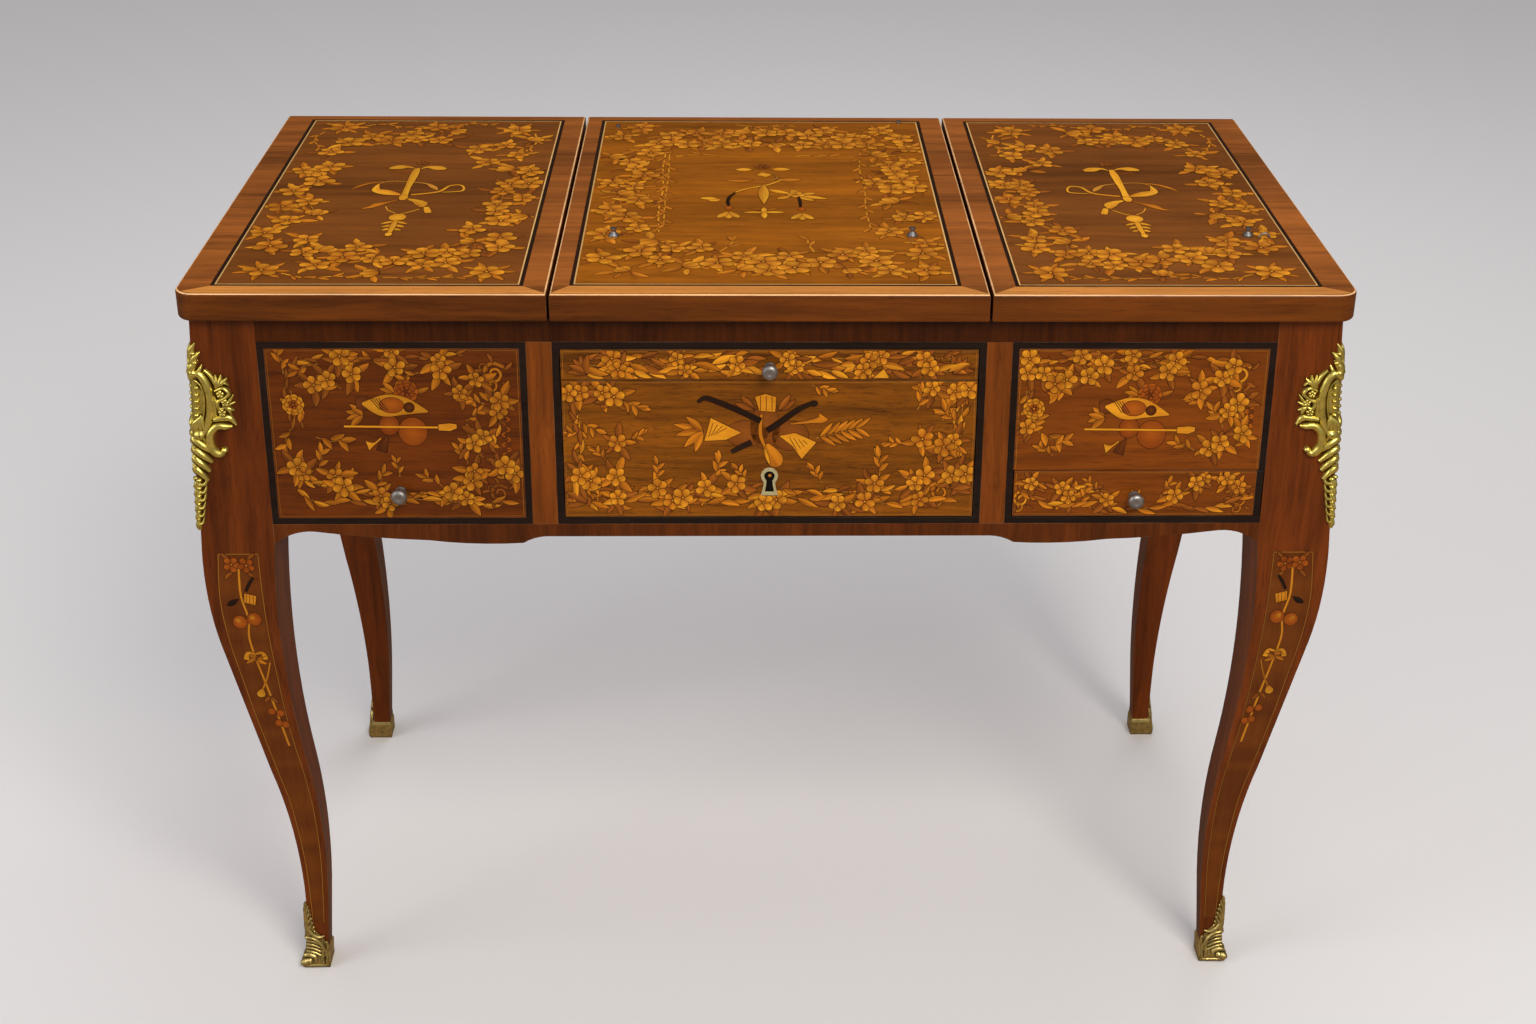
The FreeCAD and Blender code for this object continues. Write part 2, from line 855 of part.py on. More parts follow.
def build_side_panel(label, side, angle):
    """A side of the case between its posts, with a lobed apron."""
    body = new_body(label)
    pad(body, "XZ_Plane", wall_section(apron_low), -post_y, post_y)
    crest = frame_bottom - d.apron_crest_drop
    place = post_y - d.side_apron_crest_from_post
    waste = [
        (-post_y, apron_low),
        (-place, crest),
        (place, crest),
        (post_y, apron_low),
        (post_y, apron_low - d.cut_overrun),
        (-post_y, apron_low - d.cut_overrun),
    ]
    arcs = {0: d.side_apron_end_bulge, 1: -d.side_apron_lobe_bulge, 2: d.side_apron_end_bulge}
    pocket(body, "YZ_Plane", [(waste, arcs)], -d.cut_overrun, d.wall_depth + d.cut_overrun)
    seat_fixed_leaves(body, side_hinges)
    put(body, half_width * side, 0, 0, (0, 0, 1), angle)
    return keep(body, label)


build_side_panel("left_side_panel", -1, 0)
build_side_panel("right_side_panel", 1, HALF_TURN)


def build_back_panel():
    """The back between the rear posts, in a frame whose +X points into the case."""
    body = new_body("back_panel")
    pad(body, "XZ_Plane", wall_section(carcase_bottom), -post_x, post_x)
    seat_fixed_leaves(body, rear_hinges)
    put(body, 0, half_depth, 0, (0, 0, 1), -QUARTER_TURN)
    return keep(body, "back_panel")


build_back_panel()

for side_name, side in (("left", -1), ("right", 1)):
    edges = sorted((partition_inner * side, partition_outer * side), key=lambda size: size.value)
    partition = block(side_name + "_partition",
                      (edges[0], -wall_y, carcase_bottom), (edges[1], wall_y, case_top))
    keep(partition, side_name + "_partition")


def build_well_floor(label, side, bottom, thickness):
    """The floor of a side well, notched round the two posts."""
    body = new_body(label)
    outline = [
        (partition_outer, -wall_y),
        (post_x, -wall_y),
        (post_x, -post_y),
        (wall_x, -post_y),
        (wall_x, post_y),
        (post_x, post_y),
        (post_x, wall_y),
        (partition_outer, wall_y),
    ]
    outline = [(across * side, along) for across, along in outline]
    pad(body, "XY_Plane", outline, bottom, bottom + thickness)
    return keep(body, label)


build_well_floor("left_well_floor", -1, carcase_bottom, d.well_floor_thickness)
right_floor_bottom = small_front_top - d.drawer_well_floor_thickness / 2
build_well_floor("right_well_floor", 1, right_floor_bottom, d.drawer_well_floor_thickness)

tray_floor_bottom = frame_top - d.tray_floor_thickness
keep(block("centre_tray_floor", (-partition_inner, -wall_y, tray_floor_bottom),
           (partition_inner, wall_y, frame_top)), "centre_tray_floor")


# writing slide
slide_front_top = opening_top - d.front_gap
slide_front_bottom = slide_front_top - d.slide_front_height
slide_board_top = slide_front_top - d.slide_board_drop
slide_board_bottom = slide_board_top - d.slide_board_thickness
slide_runner_top = slide_board_bottom - d.slide_clearance
front_half_width = bay_inner - d.front_gap
slide_board_half_width = front_half_width - d.slide_board_inset
slide_board_end = wall_y - d.slide_back_gap
slide_knob_height = slide_front_bottom + d.slide_knob_rise

slide_front = front_piece("slide_front", -front_half_width, front_half_width,
                          slide_front_bottom, slide_front_top)
drill_knob_hole(slide_front, 0, slide_knob_height)


def build_slide_board():
    body = new_body("slide_board")
    outline = box_points((-slide_board_half_width, -wall_y),
                         (slide_board_half_width, slide_board_end))
    pad(body, "XY_Plane", outline, slide_board_bottom, slide_board_top)
    pocket(body, "XY_Plane", [(leather_outline(), None)],
           slide_board_top - d.leather_thickness, slide_board_top + d.cut_overrun)
    return keep(body, "slide_board")


def leather_outline():
    leather_half_width = slide_board_half_width - d.leather_side_margin
    low = (-leather_half_width, d.leather_front_margin - wall_y)
    high = (leather_half_width, slide_board_end - d.leather_back_margin)
    return box_points(low, high)


build_slide_board()
leather = new_body("slide_leather")
pad(leather, "XY_Plane", leather_outline(), slide_board_top - d.leather_thickness, slide_board_top)
keep(leather, "slide_leather")
build_knob("slide_knob", 0, slide_knob_height)


# runners of the slide and of the middle drawer, on the partitions
drawer_half_width = front_half_width - d.drawer_side_inset
runner_front = d.side_clearance - wall_y


def build_runner(label, side, outline, low, high):
    body = new_body(label)
    pad(body, "XZ_Plane", [(across * side, up) for across, up in outline], low, high)
    return body


def guided_runner(wall, foot_edge, guide_edge):
    """An L section: a foot that carries a drawer and a guide beside it."""
    return [
        (wall, carcase_bottom),
        (foot_edge, carcase_bottom),
        (foot_edge, opening_bottom),
        (guide_edge, opening_bottom),
        (guide_edge, opening_bottom + d.guide_height),
        (wall, opening_bottom + d.guide_height),
    ]


drawer_runner = guided_runner(partition_inner, partition_inner - d.runner_width,
                              drawer_half_width + d.side_clearance)
slide_runner = box_points(
    (partition_inner - d.slide_runner_width, slide_runner_top - d.slide_runner_height),
    (partition_inner, slide_runner_top))
centre_runners = []
for side_name, side in (("left", -1), ("right", 1)):
    centre_runners.append(build_runner(side_name + "_drawer_runner", side, drawer_runner,
                                       runner_front, wall_y))
    centre_runners.append(build_runner(side_name + "_slide_runner", side, slide_runner,
                                       runner_front, wall_y))
group("centre_runners", centre_runners)


# middle drawer
drawer_front_top = slide_front_bottom - d.front_gap
drawer_side_bottom = opening_bottom + d.slide_clearance
drawer_side_top = drawer_front_top - d.drawer_side_top_drop
drawer_end = wall_y - d.drawer_back_gap
keyhole_height = drawer_front_bottom + d.keyhole_rise
drawer_inner = drawer_half_width - d.drawer_side_thickness
drawer_bottom_low = drawer_side_bottom + d.drawer_bottom_rise
drawer_bottom_top = drawer_bottom_low + d.drawer_bottom_thickness
lock_top = drawer_front_bottom + d.lock_height


def build_drawer_front():
    """The middle drawer's front, with its keyhole, lock mortise and bolt slot."""
    body = front_piece("centre_drawer_front", -front_half_width, front_half_width,
                       drawer_front_bottom, drawer_front_top)
    low = (-d.lock_half_width, drawer_front_bottom - d.cut_overrun)
    high = (d.lock_half_width, lock_top)
    pocket(body, "XZ_Plane", [(box_points(low, high), None)],
           -wall_y - d.lock_depth, -wall_y + d.cut_overrun)
    mortise_inside = -wall_y - d.lock_depth + d.cut_overrun
    pocket(body, "XZ_Plane", [], front_clear, mortise_inside,
           circles=[(0, keyhole_height, d.keyhole_radius)])
    slot_low = (-d.key_slot_width / 2, keyhole_height - d.key_slot_drop)
    slot_high = (d.key_slot_width / 2, keyhole_height)
    pocket(body, "XZ_Plane", [(box_points(slot_low, slot_high), None)],
           front_clear, mortise_inside)
    return body


build_drawer_front()
centre_sides = []
for side_name, side in (("left", -1), ("right", 1)):
    edges = sorted((drawer_inner * side, drawer_half_width * side), key=lambda size: size.value)
    centre_sides.append(block(side_name + "_drawer_side", (edges[0], -wall_y, drawer_side_bottom),
                              (edges[1], drawer_end, drawer_side_top)))
group("centre_drawer_sides", centre_sides)
keep(block("centre_drawer_back",
           (-drawer_inner, drawer_end - d.drawer_side_thickness, drawer_bottom_top),
           (drawer_inner, drawer_end, drawer_side_top - d.drawer_back_drop)),
     "centre_drawer_back")
keep(block("centre_drawer_bottom", (-drawer_inner, -wall_y, drawer_bottom_low),
           (drawer_inner, drawer_end, drawer_bottom_top)), "centre_drawer_bottom")


def build_lock_case():
    """The lock let into the back of the drawer front, open below for its bolt."""
    body = new_body("lock_case")
    low = (-d.lock_half_width, drawer_front_bottom)
    high = (d.lock_half_width, lock_top)
    pad(body, "XZ_Plane", box_points(low, high), -wall_y - d.lock_depth, -wall_y)
    slot = d.bolt_half_width + d.bolt_play
    slot_low = (-slot, drawer_front_bottom - d.cut_overrun)
    slot_high = (slot, drawer_front_bottom + d.bolt_length + d.bolt_play)
    pocket(body, "XZ_Plane", [(box_points(slot_low, slot_high), None)],
           bolt_front - d.bolt_play, bolt_back + d.bolt_play)
    pocket(body, "XZ_Plane", [], -wall_y - d.lock_depth, bolt_front,
           circles=[(0, keyhole_height, d.keyhole_radius)])
    return keep(body, "lock_case")


build_lock_case()
keep(block("lock_bolt",
           (-d.bolt_half_width, bolt_front, drawer_front_bottom),
           (d.bolt_half_width, bolt_back, drawer_front_bottom + d.bolt_length)),
     "lock_bolt")


def build_escutcheon():
    """The keyhole plate: round head, waist and flared foot, lying on the leaning front."""
    body = new_body("escutcheon")
    shoulder = d.escutcheon_top - d.escutcheon_radius
    half = [
        (d.escutcheon_foot_half_width, -d.escutcheon_foot),
        (d.escutcheon_waist_half_width, -d.escutcheon_waist_drop),
        (d.escutcheon_radius, shoulder),
    ]
    points = half + [(-across, up) for across, up in reversed(half)]
    arcs = {
        0: d.escutcheon_waist_half_width / 2 / 2,
        2: -d.escutcheon_radius,
        4: d.escutcheon_waist_half_width / 2 / 2,
    }
    pad(body, "XZ_Plane", points, -d.escutcheon_thickness, 0, arcs)
    pocket(body, "XZ_Plane", [], -d.escutcheon_thickness, 0, circles=[(0, 0, d.keyhole_radius)])
    slot = box_points((-d.key_slot_width / 2, -d.key_slot_drop), (d.key_slot_width / 2, 0))
    pocket(body, "XZ_Plane", [(slot, None)], -d.escutcheon_thickness, 0)
    lean = f"atan(({d.lid_overhang.text}) / {(case_top - knee_height).text})"
    put(body, 0, face_y(keyhole_height), keyhole_height, (-1, 0, 0), lean)
    return keep(body, "escutcheon")


build_escutcheon()


# small drawer on the right
small_front_inner = side_bay_inner + d.front_gap
small_front_outer = post_x - d.front_gap
small_band_edge = small_front_outer - d.band_width
small_inner = small_front_inner + d.small_side_inset
small_outer = small_front_outer - d.small_side_inset - d.band_width
small_side_bottom = opening_bottom + d.slide_clearance
small_side_top = small_front_top - d.small_side_top_drop
small_end = wall_y - d.small_drawer_back_gap
small_knob_height = small_front_bottom + d.small_knob_rise
small_bottom_low = small_side_bottom + d.small_bottom_rise
small_bottom_top = small_bottom_low + d.small_bottom_thickness

small_front = front_piece("right_drawer_front", small_front_inner, small_band_edge,
                          small_front_bottom, small_front_top)
drill_knob_hole(small_front, side_bay_middle, small_knob_height)
front_piece("right_drawer_end_band", small_band_edge, small_front_outer,
            small_front_bottom, small_front_top)
build_knob("right_drawer_knob", side_bay_middle, small_knob_height)
group("right_drawer_sides", [
    block("small_inner_side", (small_inner, -wall_y, small_side_bottom),
          (small_inner + d.small_side_thickness, small_end, small_side_top)),
    block("small_outer_side", (small_outer - d.small_side_thickness, -wall_y, small_side_bottom),
          (small_outer, small_end, small_side_top)),
])
small_box_low = small_inner + d.small_side_thickness
small_box_high = small_outer - d.small_side_thickness
keep(block("right_drawer_back",
           (small_box_low, small_end - d.small_side_thickness, small_bottom_top),
           (small_box_high, small_end, small_side_top - d.small_back_drop)),
     "right_drawer_back")
keep(block("right_drawer_bottom", (small_box_low, -wall_y, small_bottom_low),
           (small_box_high, small_end, small_bottom_top)), "right_drawer_bottom")
outer_guide = small_outer + d.side_clearance
group("right_drawer_runners", [
    build_runner("small_inner_runner", 1,
                 guided_runner(partition_outer, small_inner + d.small_side_thickness,
                               small_inner - d.side_clearance),
                 runner_front, wall_y),
    build_runner("small_outer_runner", 1, [
        (wall_x, carcase_bottom),
        (small_outer - d.small_side_thickness, carcase_bottom),
        (small_outer - d.small_side_thickness, opening_bottom),
        (outer_guide, opening_bottom),
        (outer_guide, opening_bottom + d.guide_height),
        (outer_guide + d.small_guide_width, opening_bottom + d.guide_height),
        (outer_guide + d.small_guide_width, opening_bottom),
        (wall_x, opening_bottom),
    ], -post_y, post_y),
])


# lids, each in a frame whose origin is the hinged edge and whose +X points in from it
def rounded_outline(length, low, high, corners):
    """A rectangle with a radius at each corner: hinge low, far low, far high, hinge high."""
    points = []
    arcs = {}
    # each corner's place, then the ways to the ends of its rounding
    places_and_ways = {
        "hinge_low": ((0, low), (0, 1), (1, 0)),
        "far_low": ((length, low), (-1, 0), (0, 1)),
        "far_high": ((length, high), (0, -1), (-1, 0)),
        "hinge_high": ((0, high), (1, 0), (0, -1)),
    }
    for name, ((across, along), before, after) in places_and_ways.items():
        if name not in corners:
            points.append((across, along))
            continue
        radius = corners[name]
        arcs[len(points)] = -radius * QUARTER_BULGE_SHARE
        points.append((across + radius * before[0], along + radius * before[1]))
        points.append((across + radius * after[0], along + radius * after[1]))
    return points, arcs


def round_level_edges(body, board, heights, radius):
    """Round the edges of a board that lie level at the given heights."""
    doc.recompute()
    edges = []
    for number, edge in enumerate(board.Shape.Edges, start=1):
        box = edge.BoundBox
        level = box.ZLength < radius.value / 2
        if level and any(abs(box.ZMin - height.value) < radius.value / 2 for height in heights):
            edges.append(f"Edge{number}")
    rounding = body.newObject("PartDesign::Fillet", body.Name + "_rounding")
    rounding.Base = (board, edges)
    rounding.setExpression("Radius", radius.text)


def build_lid(label, length, low, high, corners, hinges, peg_holes, place):
    """A lid board with seats for its hinge leaves and holes for what stands on it."""
    body = new_body(label)
    points, arcs = rounded_outline(length, low, high, corners)
    board = pad(body, "XY_Plane", points, lid_underside, d.table_height, arcs)
    round_level_edges(body, board, (lid_underside, d.table_height), d.lid_edge_rounding)
    knuckle_reach = d.knuckle_radius + d.knuckle_play
    for hinge in hinges:
        seat = [
            (-d.cut_overrun, lid_underside - d.cut_overrun),
            (d.leaf_reach, lid_underside - d.cut_overrun),
            (d.leaf_reach, lid_underside + d.leaf_thickness),
            (d.pivot_inset + knuckle_reach, lid_underside + d.leaf_thickness),
            (d.pivot_inset + knuckle_reach, pivot_height + knuckle_reach),
            (-d.cut_overrun, pivot_height + knuckle_reach),
        ]
        pocket(body, "XZ_Plane", [(seat, None)],
               hinge - d.hinge_length / 2, hinge + d.hinge_length / 2)
    holes = [(x, y, d.screw_radius) for x, y in screw_places(hinges)]
    pocket(body, "XY_Plane", [], lid_underside, lid_underside + d.screw_length, circles=holes)
    if peg_holes:
        pocket(body, "XY_Plane", [], d.table_height - d.stud_root, d.table_height,
               circles=peg_holes)
    put(body, *place)
    return keep(body, label)


side_lid_length = half_width - lid_gap_place - d.lid_gap / 2
left_place = (-half_width, 0, 0, (0, 0, 1), 0)
right_place = (half_width, 0, 0, (0, 0, 1), HALF_TURN)
rear_place = (0, half_depth, 0, (0, 0, 1), -QUARTER_TURN)


def in_right_frame(place):
    return half_width - place[0], -place[1]


def in_rear_frame(place):
    return half_depth - place[1], place[0]


places = {
    "front_left": (d.left_stud_from_side - centre_lid_half, d.left_stud_from_front - half_depth),
    "front_right": (centre_lid_half - d.right_stud_from_side, d.right_stud_from_front - half_depth),
    "rear_left": (d.left_peg_from_side - centre_lid_half, half_depth - d.left_peg_from_rear),
    "rear_right": (centre_lid_half - d.right_peg_from_side, half_depth - d.right_peg_from_rear),
    "right_lid": (half_width - d.lid_stud_from_side, d.lid_stud_from_front - half_depth),
    "hook": (half_width - d.hook_from_side, d.hook_from_front - half_depth),
}
centre_studs = ("front_left", "front_right")
centre_pegs = ("rear_left", "rear_right")
centre_holes = [(*in_rear_frame(places[name]), d.stud_neck_radius)
                for name in centre_studs + centre_pegs]
stud_hole = (*in_right_frame(places["right_lid"]), d.stud_neck_radius)

build_lid("left_lid", side_lid_length, -half_depth, half_depth,
          {"hinge_low": d.lid_front_corner, "hinge_high": d.lid_rear_corner},
          side_hinges, [], left_place)
build_lid("right_lid", side_lid_length, -half_depth, half_depth,
          {"hinge_low": d.lid_rear_corner, "hinge_high": d.lid_front_corner},
          side_hinges, [stud_hole], right_place)
build_lid("centre_lid", d.table_depth, -centre_lid_half, centre_lid_half,
          {}, rear_hinges, centre_holes, rear_place)


# hinges: each leaf in a frame whose origin is the pin's middle and whose +X points in
def build_leaf(name, moving, x_shift, y_shift, angle):
    """A leaf with its knuckles: the moving leaf has the middle one, the fixed one both ends."""
    body = new_body(name)
    side = 1 if moving else -1
    near = d.lid_clearance / 2 * side
    far = near + d.leaf_thickness * side
    end = d.leaf_reach - d.pivot_inset
    length = d.hinge_length
    pad(body, "XZ_Plane", box_points((0, near), (end, far)), -length / 2, length / 2)
    boss = new_sketch(body, "XZ_Plane", -length / 2)
    draw_circle(boss, 0, 0, d.knuckle_radius)
    barrel = body.newObject("PartDesign::Pad", body.Name + "_barrel")
    barrel.Profile = boss
    barrel.setExpression("Length", length.text)
    pocket(body, "XZ_Plane", [], -length / 2, length / 2, circles=[(0, 0, d.pin_radius + d.pin_play)])
    reach = d.knuckle_radius + d.knuckle_play
    gap = box_points((-reach, -reach), (reach, reach))
    third = length / 3 / 2
    play = d.pin_play
    if moving:
        pocket(body, "XZ_Plane", [(gap, None)], -length, -third + play)
        pocket(body, "XZ_Plane", [(gap, None)], third - play, length)
    else:
        pocket(body, "XZ_Plane", [(gap, None)], -third - play, third + play)
    holes = []
    for hole_side in (-1, 1):
        holes.append((d.hinge_screw_inset - d.pivot_inset, d.hinge_screw_place * hole_side,
                      d.screw_head_radius))
    pocket(body, "XY_Plane", [], -d.knuckle_radius, d.knuckle_radius, circles=holes)
    return put(body, x_shift, y_shift, pivot_height, (0, 0, 1), angle)


def build_screw(name, x, y, upward):
    """A flush screw: a head as thick as the leaf and a shank in the wood."""
    body = new_body(name)
    head = d.leaf_thickness
    points = [
        (0, 0),
        (0, d.screw_head_radius),
        (head, d.screw_head_radius),
        (head, d.screw_radius),
        (d.screw_length, d.screw_radius),
        (d.screw_length, 0),
    ]
    turn(body, points)
    height = lid_underside if upward else case_top
    return put(body, x, y, height, (1, 0, 0), QUARTER_TURN if upward else -QUARTER_TURN)


def to_table(place, x, y):
    """A point of a lid's or wall's own frame, in the table's frame."""
    base_x, base_y, _, _, angle = place
    if angle == HALF_TURN:
        return base_x - x, base_y - y
    if angle == -QUARTER_TURN:
        return base_x + y, base_y - x
    return base_x + x, base_y + y


fixed_pieces = []
pins = []
# each lid's frame and hinges, then how its upright pins are laid down
hinge_sets = (
    ("left_lid", left_place, side_hinges, (1, 0, 0), QUARTER_TURN),
    ("right_lid", right_place, side_hinges, (1, 0, 0), -QUARTER_TURN),
    ("centre_lid", rear_place, rear_hinges, (0, 1, 0), -QUARTER_TURN),
)
for lid_name, place, hinges, pin_axis, pin_angle in hinge_sets:
    moving_pieces = []
    for number, hinge in enumerate(hinges, start=1):
        leaf_x, leaf_y = to_table(place, d.pivot_inset, hinge)
        stem = f"{lid_name}_{number}"
        moving_pieces.append(build_leaf(stem + "_moving_leaf", True, leaf_x, leaf_y, place[4]))
        fixed_pieces.append(build_leaf(stem + "_fixed_leaf", False, leaf_x, leaf_y, place[4]))
        pin = doc.addObject("Part::Cylinder", stem + "_pin")
        pin.setExpression("Radius", d.pin_radius.text)
        pin.setExpression("Height", d.hinge_length.text)
        pin_x, pin_y = to_table(place, d.pivot_inset, hinge + d.hinge_length / 2)
        pins.append(put(pin, pin_x, pin_y, pivot_height, pin_axis, pin_angle))
    for number, (x, y) in enumerate(screw_places(hinges), start=1):
        screw_x, screw_y = to_table(place, x, y)
        stem = f"{lid_name}_{number}"
        moving_pieces.append(build_screw(stem + "_moving_screw", screw_x, screw_y, True))
        fixed_pieces.append(build_screw(stem + "_fixed_screw", screw_x, screw_y, False))
    group(lid_name + "_hinge_leaves", moving_pieces)
group("case_hinge_leaves", fixed_pieces)
group("hinge_pins", pins)


# mirror under the middle lid
def build_mirror():
    """A framed mirror let under the middle lid, its glass in a rebate against the lid."""
    frame = new_body("mirror_frame")
    outer = (centre_lid_half - d.mirror_side_margin, half_depth - d.mirror_end_margin)
    sight = (outer[0] - d.mirror_frame_width, outer[1] - d.mirror_frame_width)
    glass_edge = (sight[0] + d.mirror_rebate, sight[1] + d.mirror_rebate)
    bottom = lid_underside - d.mirror_frame_thickness
    pad(frame, "XY_Plane", box_points((-outer[0], -outer[1]), outer), bottom, lid_underside)
    pocket(frame, "XY_Plane", [(box_points((-sight[0], -sight[1]), sight), None)],
           bottom - d.cut_overrun, lid_underside)
    pocket(frame, "XY_Plane", [(box_points((-glass_edge[0], -glass_edge[1]), glass_edge), None)],
           lid_underside - d.mirror_glass_thickness, lid_underside)
    keep(frame, "mirror_frame")
    keep(block("mirror_glass",
               (-glass_edge[0], -glass_edge[1], lid_underside - d.mirror_glass_thickness),
               (glass_edge[0], glass_edge[1], lid_underside)), "mirror_glass")


build_mirror()


# studs and pegs on the lids
def build_stud(name, place, tall):
    """A turned stud or a low peg that stands on a lid, its root in the wood."""
    body = new_body(name)
    if tall:
        points = [
            (-d.stud_root, 0),
            (-d.stud_root, d.stud_neck_radius),
            (0, d.stud_neck_radius),
            (0, d.stud_radius),
            (d.stud_flange, d.stud_radius),
            (d.stud_height / 2, d.stud_neck_radius),
            (d.stud_height - d.stud_flange, d.stud_cap_radius),
            (d.stud_height, 0),
        ]
    else:
        points = [
            (-d.stud_root, 0),
            (-d.stud_root, d.stud_neck_radius),
            (0, d.stud_neck_radius),
            (0, d.peg_radius),
            (d.peg_height, d.peg_radius),
            (d.peg_height, 0),
        ]
    turn(body, points)
    return put(body, place[0], place[1], d.table_height, (1, 0, 0), QUARTER_TURN)


centre_stud_solids = [build_stud("stud_" + name, places[name], True) for name in centre_studs]
centre_stud_solids += [build_stud("peg_" + name, places[name], False) for name in centre_pegs]
group("centre_lid_studs", centre_stud_solids)
keep(build_stud("right_lid_stud", places["right_lid"], True), "right_lid_stud")

hook = doc.addObject("Part::Torus", "right_lid_hook")
hook.setExpression("Radius1", d.hook_ring_radius.text)
hook.setExpression("Radius2", d.hook_wire_radius.text)
hook.Angle3 = HALF_TURN
put(hook, *places["hook"], d.table_height, (1, 0, 0), QUARTER_TURN)
keep(hook, "right_lid_hook")


def check_and_write():
    """Recompute, look for failed objects and idle cuts, and write one file per piece."""
    doc.recompute()
    for item in doc.Objects:
        failed = [word for word in item.State if word in ("Invalid", "Error")]
        if failed:
            raise RuntimeError(f"{item.Label} failed: {failed}")
    for cut in pockets:
        if cut.BaseFeature.Shape.Volume - cut.Shape.Volume < IDLE_CUT:
            raise RuntimeError(f"{cut.Label} cuts nothing")
    os.makedirs("parts", exist_ok=True)
    for label, item in kept.items():
        shape = item.Shape
        if shape.isNull() or not shape.isValid():
            raise RuntimeError(f"{label} has no valid shape")
        shape.exportStep(f"parts/{label}.step")
        box = shape.BoundBox
        volume = shape.Volume / CUBIC_MM_PER_CUBIC_CM
        print(f"{label}: {len(shape.Solids)} solid(s), {volume:.1f} cm3, "
              f"x {box.XMin:.1f}..{box.XMax:.1f} y {box.YMin:.1f}..{box.YMax:.1f} "
              f"z {box.ZMin:.1f}..{box.ZMax:.1f}")
    print(len(kept), "pieces")


check_and_write()
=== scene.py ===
# %% [markdown]
# A poudreuse is a dressing table whose top is three hinged lids. This lesson dresses a measured
# model of one in its finishes: polished veneer, floral marquetry, ebonised bands, gilt bronze.
# Nearly everything that makes such a table worth looking at is thinner than a millimetre, so most
# of the work is laying thin pieces on the faces that carry them and giving each wood its own grain.

# %% The fixed frame
import bpy
import math
import random
from mathutils import Matrix, Vector
from mathutils.bvhtree import BVHTree


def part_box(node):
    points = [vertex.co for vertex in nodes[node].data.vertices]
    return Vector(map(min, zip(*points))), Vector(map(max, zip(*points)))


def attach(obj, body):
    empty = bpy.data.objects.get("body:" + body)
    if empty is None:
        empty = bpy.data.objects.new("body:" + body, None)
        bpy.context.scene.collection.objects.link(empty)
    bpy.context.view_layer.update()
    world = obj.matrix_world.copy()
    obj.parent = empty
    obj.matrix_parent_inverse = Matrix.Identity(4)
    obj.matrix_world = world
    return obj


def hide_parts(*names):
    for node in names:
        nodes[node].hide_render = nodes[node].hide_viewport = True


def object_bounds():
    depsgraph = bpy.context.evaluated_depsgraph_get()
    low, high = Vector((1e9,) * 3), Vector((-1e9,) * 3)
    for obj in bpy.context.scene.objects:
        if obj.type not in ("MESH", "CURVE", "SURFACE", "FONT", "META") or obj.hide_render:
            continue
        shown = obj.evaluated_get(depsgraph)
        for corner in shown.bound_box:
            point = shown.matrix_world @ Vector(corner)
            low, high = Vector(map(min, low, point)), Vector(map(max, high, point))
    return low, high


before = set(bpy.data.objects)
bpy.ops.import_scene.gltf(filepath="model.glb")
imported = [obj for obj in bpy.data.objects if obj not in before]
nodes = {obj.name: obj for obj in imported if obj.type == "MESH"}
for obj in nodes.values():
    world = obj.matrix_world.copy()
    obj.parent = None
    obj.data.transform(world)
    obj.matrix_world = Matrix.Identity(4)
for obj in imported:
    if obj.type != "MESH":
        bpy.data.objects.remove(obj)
cad_low, cad_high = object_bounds()
MM = 0.001
print(len(nodes), "pieces in the frame, from", list(cad_low), "to", list(cad_high))

# %% [markdown]
# Materials are trees of nodes, and typing out every link hides what a tree does. Two small helpers
# keep them short: one adds a node with its settings and inputs, the other starts a group with named
# sockets, so that an effect such as grain is written once and then used by every wood.

# %% Helpers for node trees
def add(tree, kind, settings=None, inputs=None):
    """Add a node. An input is either a value or another node's output socket."""
    made = tree.nodes.new(kind)
    for word, value in (settings or {}).items():
        setattr(made, word, value)
    for socket, value in (inputs or {}).items():
        if isinstance(value, bpy.types.NodeSocket):
            tree.links.new(value, made.inputs[socket])
        else:
            made.inputs[socket].default_value = value
    return made


def new_group(name, inputs, outputs):
    """Start a shader group. Inputs are name: (kind, value), outputs are name: kind."""
    group = bpy.data.node_groups.new(name, "ShaderNodeTree")
    for label, (kind, value) in inputs.items():
        socket = group.interface.new_socket(name=label, in_out="INPUT", socket_type=kind)
        if value is not None:
            socket.default_value = value
    for label, kind in outputs.items():
        group.interface.new_socket(name=label, in_out="OUTPUT", socket_type=kind)
    return group, group.nodes.new("NodeGroupInput").outputs


def give_out(group, **sockets):
    """Link what a group puts out; a name's underscore stands for a space."""
    end = group.nodes.new("NodeGroupOutput")
    for label, socket in sockets.items():
        group.links.new(socket, end.inputs[label.replace("_", " ")])


def math_node(tree, operation, first, second):
    return add(tree, "ShaderNodeMath", {"operation": operation}, {0: first, 1: second}).outputs[0]


def mix_colours(tree, share, first, second, blend="MIX"):
    """Mix two colours; the share, the first and the second may be values or sockets."""
    made = add(tree, "ShaderNodeMix", {"data_type": "RGBA", "blend_type": blend},
               {0: share, 6: first, 7: second})
    return made.outputs[2]


def new_material(name):
    """A material with its shader, ready for the rest of its tree."""
    made = bpy.data.materials.new(name)
    made.use_nodes = True
    tree = made.node_tree
    return made, tree, tree.nodes["Principled BSDF"]


def paint(red, green, blue):
    """A colour as a screen shows it, 0 to 255, as the linear value that a shader takes."""
    def linear(value):
        share = value / 255
        return share / 12.92 if share <= 0.04045 else ((share + 0.055) / 1.055) ** 2.4
    return linear(red), linear(green), linear(blue)


print("helpers ready")

